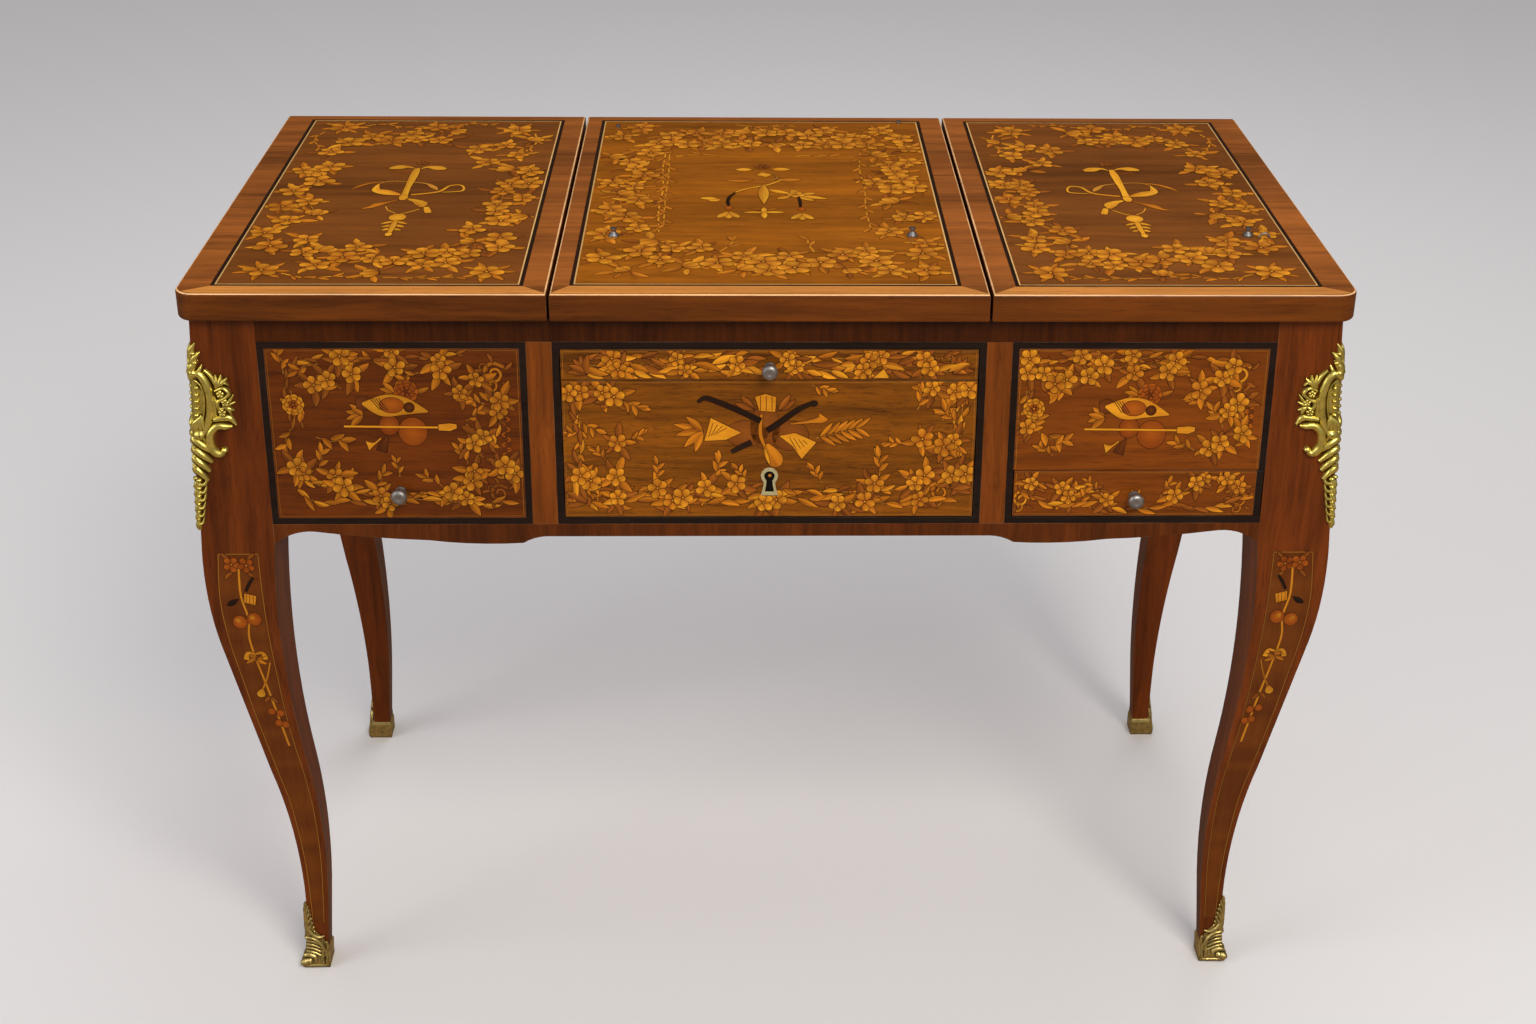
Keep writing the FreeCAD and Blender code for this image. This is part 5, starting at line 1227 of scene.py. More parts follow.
def leaf_run(work, corners, size=11.0, veneer="leaf"):
    """A running band of long leaves that overlap along a curve."""
    spine = smooth_curve(corners, 8)
    walked = size
    for before, after in zip(spine, spine[1:]):
        walked += math.dist(before, after)
        if walked > size * 0.72:
            walked = 0.0
            turn = math.atan2(after[1] - before[1], after[0] - before[0])
            side = work.random.choice((-0.35, 0.0, 0.35))
            kind = work.random.choice((veneer, veneer, "faded leaf", "petal"))
            work.leaf(before, turn + side, size * work.random.uniform(1.2, 1.7), size * 0.22,
                      work.random.uniform(-0.7, 0.7), kind)
    work.stem(corners, 0.8, "stem", tone=0.5)


def scroll(work, centre, radius, turns, start, veneer, way=1):
    """A curled band that narrows towards its inner end."""
    corners, widths = [], []
    for step in range(SCROLL_STEPS + 1):
        share = step / SCROLL_STEPS
        corners.append(polar(centre, start + way * math.tau * turns * share, radius * (1 - 0.72 * share)))
        widths.append(radius * (0.17 - 0.10 * share))
    work.ribbon(corners, widths, veneer, LEAF_LIFT, (0.35, 0.9), 0.12)


def scroll_knot(work, centre, radius, veneer="leaf"):
    """A corner ornament of curls that turn both ways, with leaves breaking out."""
    scroll(work, centre, radius, 1.4, 0.6, veneer)
    scroll(work, polar(centre, -1.9, radius * 1.1), radius * 0.62, 1.2, 2.0, veneer, -1)
    scroll(work, polar(centre, 2.6, radius * 1.0), radius * 0.5, 1.2, 4.0, "faded leaf")
    for number in range(5):
        angle = 0.4 + number * 1.25
        work.leaf(polar(centre, angle, radius * 0.9), angle + 0.5, radius * 0.9, radius * 0.16, 0.8,
                  "faded leaf")


def braid(work, across, low, high):
    """Two thin bands that twist round each other up an edge."""
    count = int((high - low) / BRAID_PITCH * 4)
    for way in (-1, 1):
        corners = [(across + way * BRAID_WIDTH * math.sin(math.tau * step / 4),
                    low + (high - low) * step / count) for step in range(count + 1)]
        work.stem(corners, 1.4, "brown" if way > 0 else "orange", LEAF_LIFT + 0.02 * way, 0.9, 4)


def rose(work, centre, radius, veneer="petal"):
    """A full flower: rings of short petals, the inner ones darker."""
    for ring, (share, number) in enumerate(((1.0, 9), (0.72, 7), (0.42, 5))):
        for step in range(number):
            turn = math.tau * (step + 0.5 * ring) / number
            work.petal(polar(centre, turn, radius * share * 0.35), turn, radius * share * 0.66,
                       radius * share * 0.36, FLOWER_LIFT + 0.06 * ring + PETAL_STEP * (step % 3),
                       veneer if ring < 2 else "orange", (0.2, 0.85 - 0.1 * ring))


def music_emblem(work, middle):
    """A lute over two round drums, with an arrow, a trumpet and a rose."""
    across, up = middle

    def at(right, above):
        return across + right, up + above

    work.disc(at(14, -6), (12.5, 13.2), "orange", 0.20, (0.9, 0.35))
    work.disc(at(-6, 0), (8.6, 9.4), "orange", 0.22, (0.6, 0.15))
    work.stem([at(-45, -1), at(0, -1.5), at(36, -2)], 1.8, "petal", 0.30, 0.85, 3)
    arrow_head = [at(36, -5), at(46, -5.5), at(52, -3), at(52, 1), at(46, 2), at(36, 1)]
    work.outline_piece(arrow_head, "petal", 0.31, 0.85)
    work.ribbon([at(-28, 20), at(-12, 18), at(6, 18), at(28, 12.5)], [1.0, 9.4, 8.6, 0.8], "petal", 0.36,
                (0.95, 0.65))
    work.disc(at(-3, 18.5), (10.5, 7.0), "orange", 0.40, (1.0, 0.5))
    work.disc(at(12, 16.5), (4.4, 4.4), "brown", 0.42, (0.9, 0.2))
    work.ribbon([at(-33, 20), at(-26, 20), at(-20, 18)], [4.5, 6.5, 3.0], "brown", 0.34, (1.0, 0.4))
    for step in range(4):
        string = [at(-21 + 2.4 * step, 25), at(-13 + 2.2 * step, 14)]
        work.stem(string, 0.7, "black", 0.43, 0.9, 1, 0.0)
    rose(work, at(10, 31), 10.5, "orange")
    for turn in (2.4, 2.9, 3.6, 0.4):
        work.leaf(at(0 if turn > 1 else 18, 30), turn, 13, 2.4, 0.3)
    for turn in (2.4, 2.9, 3.4, 3.9):
        work.leaf(at(-28, 9), turn, 15, 3.0, 0.2)
    work.ribbon([at(-14, -12), at(-20, -17), at(-26, -19)], [0.8, 1.0, 4.4], "petal", 0.32, (0.6, 0.95))
    work.ribbon([at(-8, -10), at(-12, -18), at(-14, -24)], [0.5, 3.4, 4.6], "brown", 0.26, (0.9, 0.5))


LEFT_BLOSSOMS = [(-366, 671), (-357, 655), (-378, 650), (-390, 645), (-322, 675), (-320, 661),
                 (-283, 667), (-281, 658), (-252, 650), (-266, 638), (-232, 630), (-234, 621),
                 (-256, 591), (-248, 597), (-230, 570), (-222, 563), (-257, 565), (-259, 556),
                 (-277, 546), (-265, 539), (-340, 542), (-332, 535), (-378, 561), (-371, 551),
                 (-405, 563), (-410, 569)]
LEFT_SPRIGS = [(-392, 597, -0.3, 26), (-402, 606, 1.9, 24), (-392, 566, 1.2, 20), (-345, 548, 0.9, 20),
               (-285, 550, 2.4, 20), (-262, 572, 1.9, 18), (-245, 627, 2.7, 20), (-412, 606, 4.2, 22),
               (-322, 560, 1.6, 16), (-385, 664, 3.3, 22), (-262, 612, 0.5, 16), (-336, 668, 2.9, 20),
               (-415, 655, 1.6, 22), (-410, 640, -1.4, 18), (-300, 656, 3.4, 18)]

left_work = front_inlay("left_false_front", 21, 0.77)
front_lines(left_work, "left_false_front")
leaf_run(left_work, [(-412, 548), (-395, 536), (-350, 538), (-318, 539), (-280, 536), (-250, 534),
                     (-228, 538)])
leaf_run(left_work, [(-412, 664), (-390, 669), (-350, 668), (-300, 670), (-262, 672)], 9.0, "faded leaf")
leaf_run(left_work, [(-405, 556), (-372, 546), (-330, 544), (-300, 545), (-262, 541)], 9.0)
leaf_run(left_work, [(-234, 560), (-238, 590), (-232, 618), (-246, 646)], 9.0, "faded leaf")
leaf_run(left_work, [(-412, 604), (-414, 640), (-406, 662)], 8.0, "faded leaf")
scroll_knot(left_work, (-236, 655), 11.0)
scroll_knot(left_work, (-236, 544), 9.0, "faded leaf")
braid(left_work, -228, 578, 618)
for across, up, turn, size in LEFT_SPRIGS:
    left_work.sprig((across, up), turn, size, 4)
small_flowers(left_work, LEFT_BLOSSOMS)
rose(left_work, (-409, 627), 9.5)
music_emblem(left_work, (-322, 608))
left_work.glue_down("left_front_flowers", "case", marquetry)

RIGHT_BLOSSOMS = [(223, 669), (268, 671), (275, 653), (312, 672), (246, 646), (256, 650), (222, 656),
                  (236, 655), (288, 663), (314, 656), (350, 667), (343, 657), (391, 651), (400, 662),
                  (373, 640), (407, 628), (398, 621), (385, 586), (394, 591), (412, 600), (224, 606)]
RIGHT_SPRIGS = [(232, 603, -0.6, 26), (226, 598, 1.0, 22), (240, 585, 0.3, 22), (372, 584, 2.6, 20),
                (395, 605, 1.9, 22), (262, 645, 3.6, 20), (330, 664, 0.2, 22), (380, 625, 2.6, 18),
                (222, 640, -1.6, 20), (405, 585, 0.9, 18), (296, 668, 3.1, 18), (248, 579, 2.4, 16)]

right_work = front_inlay("right_false_front", 22, 0.92)
front_lines(right_work, "right_false_front", ("left", "right", "top"))
leaf_run(right_work, [(222, 664), (255, 668), (300, 668), (350, 671), (392, 668)], 9.0)
leaf_run(right_work, [(228, 660), (262, 661), (305, 662), (352, 664)], 8.0)
leaf_run(right_work, [(412, 590), (406, 618), (410, 640)], 8.0, "faded leaf")
leaf_run(right_work, [(222, 592), (226, 612), (224, 640)], 8.0, "faded leaf")
scroll_knot(right_work, (406, 655), 11.0, "petal")
braid(right_work, 417, 600, 636)
for across, up, turn, size in RIGHT_SPRIGS:
    right_work.sprig((across, up), turn, size, 4)
small_flowers(right_work, RIGHT_BLOSSOMS)
rose(right_work, (229, 623), 9.5)
music_emblem(right_work, (319, 605))
right_work.glue_down("right_front_flowers", "case", marquetry)

SMALL_DRAWER_BLOSSOMS = [(230, 553), (258, 548), (264, 540), (298, 537), (358, 541), (376, 553),
                         (383, 557), (403, 557), (414, 549)]
small_work = front_inlay("right_drawer_front", 23)
front_lines(small_work, "right_drawer_front", ("left", "bottom", "top"))
leaf_run(small_work, [(221, 545), (250, 532), (290, 530), (322, 528), (350, 531), (390, 530), (418, 540)])
leaf_run(small_work, [(222, 556), (245, 552), (270, 548), (300, 545)], 9.0)
scroll_knot(small_work, (222, 538), 8.0, "petal")
scroll_knot(small_work, (416, 537), 8.0)
for across, up, turn, size in ((345, 540, 0.9, 17), (290, 545, 2.2, 15), (395, 545, 1.2, 15),
                               (275, 532, 1.2, 17), (330, 530, 1.9, 15)):
    small_work.sprig((across, up), turn, size, 4)
small_flowers(small_work, SMALL_DRAWER_BLOSSOMS, 7.0)
small_work.glue_down("right_drawer_flowers", "right_drawer", marquetry)

# %% [markdown]
# The drawer's emblem is a bundle of instruments behind two crossed black sticks, with open music
# sheets, a horn and branches. It is the one place where the ebony pieces are large enough to draw
# the eye.

# %% Flowers of the slide and the middle drawer
SLIDE_BLOSSOMS = [(-135, 669), (-130, 659), (-80, 668), (-73, 658), (15, 668), (22, 661), (85, 667),
                  (95, 671), (80, 658), (133, 668), (138, 660), (-28, 664)]
DRAWER_BLOSSOMS = [(-173, 637), (-163, 638), (-144, 638), (-134, 634), (-132, 592), (-165, 561),
                   (-156, 556), (-134, 560), (-133, 540), (-98, 549), (-85, 537), (-76, 540), (-56, 549),
                   (-29, 553), (-5, 535), (6, 538), (60, 534), (92, 553), (84, 536), (132, 538),
                   (136, 561), (128, 553), (160, 561), (172, 562), (160, 593), (152, 588), (133, 595),
                   (160, 639), (172, 641), (140, 642)]
DRAWER_SPRIGS = [(-165, 612, -0.7, 20), (-160, 600, 2.9, 18), (-126, 592, 0.3, 18), (-142, 575, 2.2, 16),
                 (-98, 556, 1.4, 18), (-48, 556, 1.2, 22), (-20, 556, 2.0, 16), (96, 560, 1.4, 22),
                 (46, 553, 1.9, 18), (150, 612, 1.2, 24), (165, 610, 2.4, 20), (128, 622, 1.2, 20),
                 (-130, 632, -0.6, 22), (150, 572, 0.9, 18), (118, 590, 2.9, 16), (36, 645, -0.5, 18)]


def shell_fan(work, foot, turn, size):
    """A half shell: leaves spread from one point."""
    for number in range(5):
        angle = turn + (number - 2) * 0.42
        work.leaf(foot, angle, size, size * 0.17, 0.3 * (number - 2), "faded leaf")


slide_work = front_inlay("slide_front", 24)
front_lines(slide_work, "slide_front", ("left", "right", "top"))
for ends in ([(-158, 662), (-120, 664), (-95, 663), (-55, 664), (-12, 663)],
             [(12, 663), (45, 664), (75, 662), (110, 664), (158, 663)]):
    leaf_run(slide_work, ends, 15.0)
    leaf_run(slide_work, [(across, up - 6) for across, up in ends], 12.0, "petal")
    leaf_run(slide_work, [(across, up + 6) for across, up in ends], 11.0)
shell_fan(slide_work, (-156, 655), 2.3, 18)
shell_fan(slide_work, (158, 655), 0.9, 18)
slide_work.outline_piece([(88, 651), (103, 651), (98, 660)], "yellow", 0.3)
small_flowers(slide_work, SLIDE_BLOSSOMS, 7.4)
slide_work.glue_down("slide_flowers", "slide", marquetry)


def bundle_emblem(work):
    """Crossed sticks over music sheets, a horn, a branch and a bundle."""
    for centre, radii in (((-20, 600), (19, 12)), ((18, 598), (16, 14)), ((-4, 606), (13, 20))):
        work.disc(centre, radii, "faded leaf", 0.13, (0.6, 0.35))
    for turn, length in ((2.9, 26), (3.3, 24), (2.4, 20), (3.9, 22), (4.4, 20)):
        work.leaf((-58, 602), turn, length, 3.4, 0.2, "leaf")
    for sheet in ([(-57, 593), (-51, 615), (-36, 607), (-24, 601), (-38, 594)],
                  [(8, 598), (22, 601), (41, 592), (28, 576), (20, 588)]):
        work.outline_piece(sheet, "petal", 0.24, 0.95)
    for step in range(4):
        work.stem([(-53 + 2.2 * step, 597 + step), (-49 + 4 * step, 610 - 1.5 * step)], 0.6, "brown", 0.26,
                  0.5, 1, 0.0)
        work.stem([(17 + 4 * step, 597 - step), (24 + 3 * step, 584 + 2 * step)], 0.6, "brown", 0.26, 0.5,
                  1, 0.0)
    work.ribbon([(18, 609), (34, 611), (44, 613), (47, 616)], [0.7, 1.4, 3.2, 5.0], "leaf", 0.26,
                (0.5, 0.9))
    work.stem([(40, 596), (58, 600), (80, 606)], 0.9)
    for step in range(6):
        foot = (44 + 6 * step, 597 + 1.6 * step)
        work.leaf(foot, 0.9 - 0.05 * step, 17, 2.2, 0.1)
        work.leaf(foot, -0.55, 16, 2.2, -0.1)
    work.outline_piece([(-13, 634), (-9, 621), (5, 620), (6, 634), (-4, 637)], "petal", 0.28, 0.8)
    for across in (-8, -3, 2):
        work.stem([(across, 621), (across, 635)], 0.6, "brown", 0.30, 0.5, 1, 0.0)
    for turn in (1.0, 0.6, 2.3, 2.8):
        work.leaf((8 if turn < 1.5 else -14, 622), turn, 17, 3.0, 0.2, "faded leaf")
    work.ribbon([(-7, 618), (-8, 600), (-4, 588)], [1.2, 1.6, 1.0], "leaf", 0.34, (0.7, 0.9))
    work.ribbon([(-3, 590), (1, 582), (6, 574), (9, 570)], [2.4, 6.4, 6.8, 2.4], "leaf", 0.3,
                (0.9, 0.6), 0.1)
    work.ribbon([(-4, 586), (-2, 578), (0, 572)], [0.6, 1.4, 0.6], "petal", 0.33, (0.7, 0.9))
    work.ribbon([(-62, 629), (-56, 633), (-46, 630), (-28, 622), (-8, 612)],
                [1.0, 1.9, 2.2, 2.3, 2.5], "black", 0.40, (0.9, 0.5))
    work.ribbon([(38, 629), (24, 622), (8, 610), (-2, 603)], [1.6, 2.2, 2.4, 2.4], "black", 0.40,
                (0.9, 0.5))
    work.disc((38, 628), (3.4, 2.6), "black", 0.42, (0.9, 0.5))
    work.ribbon([(-33, 583), (-26, 587), (-16, 592)], [1.6, 2.2, 2.2], "black", 0.40, (0.9, 0.5))


drawer_work = front_inlay("centre_drawer_front", 25)
front_lines(drawer_work, "centre_drawer_front", ("left", "right", "bottom", "top"))
leaf_run(drawer_work, [(-168, 560), (-166, 545), (-150, 534), (-110, 537), (-60, 534), (-20, 538),
                       (0, 541)], 13.0)
leaf_run(drawer_work, [(4, 541), (40, 538), (85, 534), (130, 536), (158, 540), (166, 556)], 13.0)
leaf_run(drawer_work, [(-160, 548), (-110, 544), (-60, 543), (-15, 547)], 10.0)
leaf_run(drawer_work, [(12, 548), (60, 545), (110, 547), (155, 550)], 10.0)
leaf_run(drawer_work, [(-168, 556), (-164, 590), (-168, 622)], 10.0, "faded leaf")
leaf_run(drawer_work, [(168, 564), (164, 596), (168, 630)], 10.0)
shell_fan(drawer_work, (-160, 535), 2.6, 20)
shell_fan(drawer_work, (160, 548), 0.5, 20)
scroll_knot(drawer_work, (150, 545), 9.0)
scroll_knot(drawer_work, (-152, 547), 9.0)
for across, up, turn, size in DRAWER_SPRIGS:
    drawer_work.sprig((across, up), turn, size, 5)
for corners in ([(-168, 625), (-164, 600), (-166, 575)], [(166, 630), (160, 612), (166, 585), (170, 572)]):
    tendril(drawer_work, corners, 10.0)
small_flowers(drawer_work, DRAWER_BLOSSOMS)
bundle_emblem(drawer_work)
drawer_work.glue_down("drawer_flowers", "centre_drawer", marquetry)

# %% [markdown]
# The keyhole plate is a cast rim. Inside it one looks into the lock, which lies in shade, where the end of
# its pin catches the light. The rim is drawn as an outer and an inner outline and given its thickness by
# side walls. The shade of the lock is painted: a flat near-black piece behind the rim, and on it the pin's
# end is a pale disc with a painted highlight.

# %% The keyhole plate
RIM_THICKNESS = 1.5
RIM_FOOT = 0.1
PLATE_HALF_OUTLINE = [(0.0, 12.5), (3.6, 11.5), (6.4, 8.9), (7.6, 5.2), (6.8, 1.4), (5.0, -1.4),
                      (5.4, -5.0), (6.4, -9.4), (7.5, -13.5), (0.0, -13.5)]
HOLE_HALF_OUTLINE = [(0.0, 9.3), (2.6, 8.5), (4.4, 6.4), (4.7, 4.4), (3.8, 2.0), (2.6, 0.0), (2.9, -3.6),
                     (3.5, -7.0), (4.0, -10.3), (0.0, -10.3)]
PIN_PLACE = (0.3, 5.0)
PIN_RADIUS = 1.5
LOCK_SHADE_LIFT = 0.6
PIN_LIFT = 0.9
PAINTED_SHADE_IN_LOCK = (0.004, 0.003, 0.002, 1.0)


def whole_outline(half):
    """A closed outline from its right half."""
    return half + [(-across, up) for across, up in half[-2:0:-1]]


def keyhole_plate():
    """The rim, the painted shade inside it and the end of the lock's pin with its painted highlight."""
    low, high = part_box("escutcheon")
    middle = (low.x + high.x) / 2 / MM
    level = high.z / MM - PLATE_HALF_OUTLINE[0][1]
    place = front_plane("centre_drawer_front")
    rings = []
    for outline, lift in ((HOLE_HALF_OUTLINE, RIM_FOOT), (HOLE_HALF_OUTLINE, RIM_THICKNESS),
                          (PLATE_HALF_OUTLINE, RIM_THICKNESS), (PLATE_HALF_OUTLINE, RIM_FOOT)):
        rings.append([place(middle + across, level + up, lift) for across, up in whole_outline(outline)])
    count = len(rings[0])
    faces = [(ring * count + step, ring * count + (step + 1) % count,
              (ring + 1) * count + (step + 1) % count, (ring + 1) * count + step)
             for ring in range(len(rings) - 1) for step in range(count)]
    mesh = bpy.data.meshes.new("keyhole_plate")
    mesh.from_pydata([point for ring in rings for point in ring], [], [face[::-1] for face in faces])
    mesh.materials.append(pale_brass)
    rim = new_object("keyhole_plate", mesh)
    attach(rim, "centre_drawer")
    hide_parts("escutcheon")
    # painted shade: a flat near-black sheet in the hole, where the lock lies in shade
    dark = Inlay(place, 26)
    hole = [(middle + across, level + up) for across, up in whole_outline(HOLE_HALF_OUTLINE)]
    heart = [(middle, level)] * (len(hole) + 1)
    dark.lay_rows([heart, hole + hole[:1]], [[PAINTED_SHADE_IN_LOCK] * len(heart)] * 2, LOCK_SHADE_LIFT)
    # the pin's end: a pale flat disc, bright in its middle, the pin with a painted highlight
    pin = (middle + PIN_PLACE[0], level + PIN_PLACE[1])
    dark.disc(pin, (PIN_RADIUS, PIN_RADIUS), "stem", PIN_LIFT, (1.0, 0.4), 12)
    dark.glue_down("painted_shade_in_lock", "centre_drawer", marquetry)


keyhole_plate()

# %% [markdown]
# The front legs carry a tapering panel of darker wood between two pale strings, from the knee down to
# the shoe. On it lie flowers and little drums on a long stem, tied with a bow. The leg is curved, so
# each point is pressed onto it by a ray, and the panel's edges keep a margin from the leg's own.

# %% Panels on the knees
def on_leg(name):
    """A place function for the front of a leg, by rays onto its surface."""
    tree = BVHTree.FromObject(nodes[name], bpy.context.evaluated_depsgraph_get())

    def place(across, up, lift):
        start = Vector((across * MM, RAY_START, up * MM))
        hit = tree.ray_cast(start, Vector((0, 1, 0)))[0]
        if hit is None:
            hit = tree.find_nearest(Vector((across * MM, cad_low.y, up * MM)))[0]
        return hit - Vector((0, lift * MM, 0))

    return place


# heights with the margins of the panel from the outer and the inner edge of the leg
KNEE_MARGINS = [(486, 14, 15), (440, 10.5, 12), (395, 8.5, 10), (345, 7, 8.5), (305, 6, 8),
                (268, 6, 7), (240, 6, 6), (200, 6, 5.5), (160, 5, 5.5), (120, 4.8, 5.3), (80, 4.8, 5),
                (50, 5, 4.5)]
EDGE_PROBE = 55.0
KNEE_LIFT = 0.04
KNEE_COLUMN_SHARES = (0, 0.25, 0.5, 0.75, 1)


def leg_edges(height):
    """Where the front face of the left leg begins and ends at a height, in mm."""
    tree = BVHTree.FromObject(nodes["leg_front_left"], bpy.context.evaluated_depsgraph_get())
    low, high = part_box("leg_front_left")
    depth = low.y + EDGE_PROBE * MM
    outer = tree.ray_cast(Vector((low.x - MM, depth, height * MM)), Vector((1, 0, 0)))[0]
    inner = tree.ray_cast(Vector((high.x + MM, depth, height * MM)), Vector((-1, 0, 0)))[0]
    return outer.x / MM, inner.x / MM


knee_outer, knee_inner = [], []
for height, outer_margin, inner_margin in KNEE_MARGINS:
    outer_edge, inner_edge = leg_edges(height)
    knee_outer.append((outer_edge + outer_margin, height))
    knee_inner.append((inner_edge - inner_margin, height))
print("knee panel", knee_inner[0][0] - knee_outer[0][0], "wide above and",
      knee_inner[-1][0] - knee_outer[-1][0], "below")


def knee_panel(work):
    """The dark tapering field and its lines."""
    outer, inner = smooth_curve(knee_outer, 4), smooth_curve(knee_inner, 4)
    rows, shades = [], []
    for left, right in zip(outer, inner):
        rows.append([(left[0] + (right[0] - left[0]) * share, left[1]) for share in KNEE_COLUMN_SHARES])
        shades.append([veneer_shade("knee", work.random.uniform(0.2, 0.8))] * len(KNEE_COLUMN_SHARES))
    work.lay_rows([row[::-1] for row in rows], shades, FIELD_LIFT + KNEE_LIFT, math.pi / 2)
    for side in (knee_outer, knee_inner):
        work.stem(side, 0.8, "stem", LINE_LIFT + KNEE_LIFT, 0.45, 4, 0.25)
    work.stem([knee_outer[0], knee_inner[0]], 0.8, "stem", LINE_LIFT + KNEE_LIFT, 0.45, 8, 0.25)


def bow(work, centre, size):
    """A small hanging bow with striped ends."""
    for way in (-1, 1):
        work.ribbon([centre, (centre[0] + way * size * 0.7, centre[1] + size * 0.1),
                     (centre[0] + way * size, centre[1] - size * 0.7)], [1.0, 2.0, 2.4], "petal", 0.3)
        for step in (0.5, 0.8):
            spot = (centre[0] + way * size * step, centre[1] - size * (step - 0.45))
            stripe = [(spot[0] - 2, spot[1] - 1), (spot[0] + 2, spot[1] + 1)]
            work.stem(stripe, 0.5, "brown", 0.4, 0.5, 1, 0.0)


def knee_emblem(work):
    """Two flowers, drums and a bow on a long hanging stem."""
    work.stem([(-470, 472), (-471, 444), (-467, 420), (-469, 400), (-467, 380), (-463, 356), (-459, 334),
               (-454, 302), (-449, 270)], 2.0, "petal", 0.16, 0.6)
    work.stem([(-454, 370), (-459, 352), (-465, 338)], 1.4, "petal", 0.18, 0.45)
    for centre in ((-476, 476), (-463, 475)):
        work.blossom(centre, 7.0, veneer="orange")
    for base, turn in (((-476, 468), 3.9), ((-463, 468), -0.7), ((-477, 480), 2.4), ((-462, 480), 0.8)):
        work.leaf(base, turn, 10, 2.0, 0.2, "faded leaf")
    work.ribbon([(-458, 463), (-462, 457), (-466, 449)], [0.9, 1.2, 1.0], "black", 0.4, (0.9, 0.5))
    work.leaf((-484, 434), 0.6, 12, 2.6, 0.2, "black")
    work.outline_piece([(-468, 447), (-457, 444), (-459, 434), (-469, 437)], "petal", 0.34, 0.7)
    for step in range(3):
        stripe = [(-467 + 3 * step, 437 - step), (-466 + 3 * step, 446 - step)]
        work.stem(stripe, 0.5, "brown", 0.36, 0.5, 1, 0.0)
    for centre in ((-475, 416), (-462, 419)):
        work.disc(centre, (6.6, 7.2), "orange", 0.3 + 0.001 * centre[0] / 10, (1.0, 0.35), 14)
        work.disc((centre[0] - 1.5, centre[1] + 2), (2.6, 2.8), "petal", 0.36, (0.6, 0.3), 10, glue=0.0)
    bow(work, (-466, 380), 9.0)
    for turn in (0.5, 2.6, -0.5, 3.7):
        work.leaf((-466, 374), turn, 11, 2.2, 0.5, "leaf")
    work.petal((-465, 339), 4.4, 10, 4.0, 0.34, "yellow")
    for centre in ((-460, 312), (-452, 310), (-455, 298), (-449, 296)):
        work.disc(centre, (3.8, 4.4), "orange", 0.3, (0.8, 0.3), 12)
    for turn in (-2.3, -0.9):
        work.leaf((-458, 330), turn, 10, 2.0, 0.3, "faded leaf")


for leg, mirrored, seed in (("leg_front_left", False, 31), ("leg_front_right", True, 32)):
    knee_work = Inlay(on_leg(leg), seed, mirrored, light=0.86)
    knee_panel(knee_work)
    knee_emblem(knee_work)
    knee_work.glue_down(leg + "_flowers", "case", marquetry)

# %% [markdown]
# The gilt mounts are cast from wax models, chased with a punch and fire-gilded. A stroke is drawn on
# the unrolled corner of the leg. Its first coordinate runs from the arris round the front, and a
# mirrored copy goes round the side. The inset of the arris at each height is measured with a ray along
# the diagonal.

# %% The casting kit
ARRIS_SOFTNESS = 4.0
RAY_REACH = 100.0
RIDGE_STEPS = 6
STROKE_STEPS = 5
LEAST_RIDGE = 0.1
PEARL_LEVEL_SHARES = (0.0, 0.35, 0.65, 0.88, 0.99)
PEARL_SIDES = 10


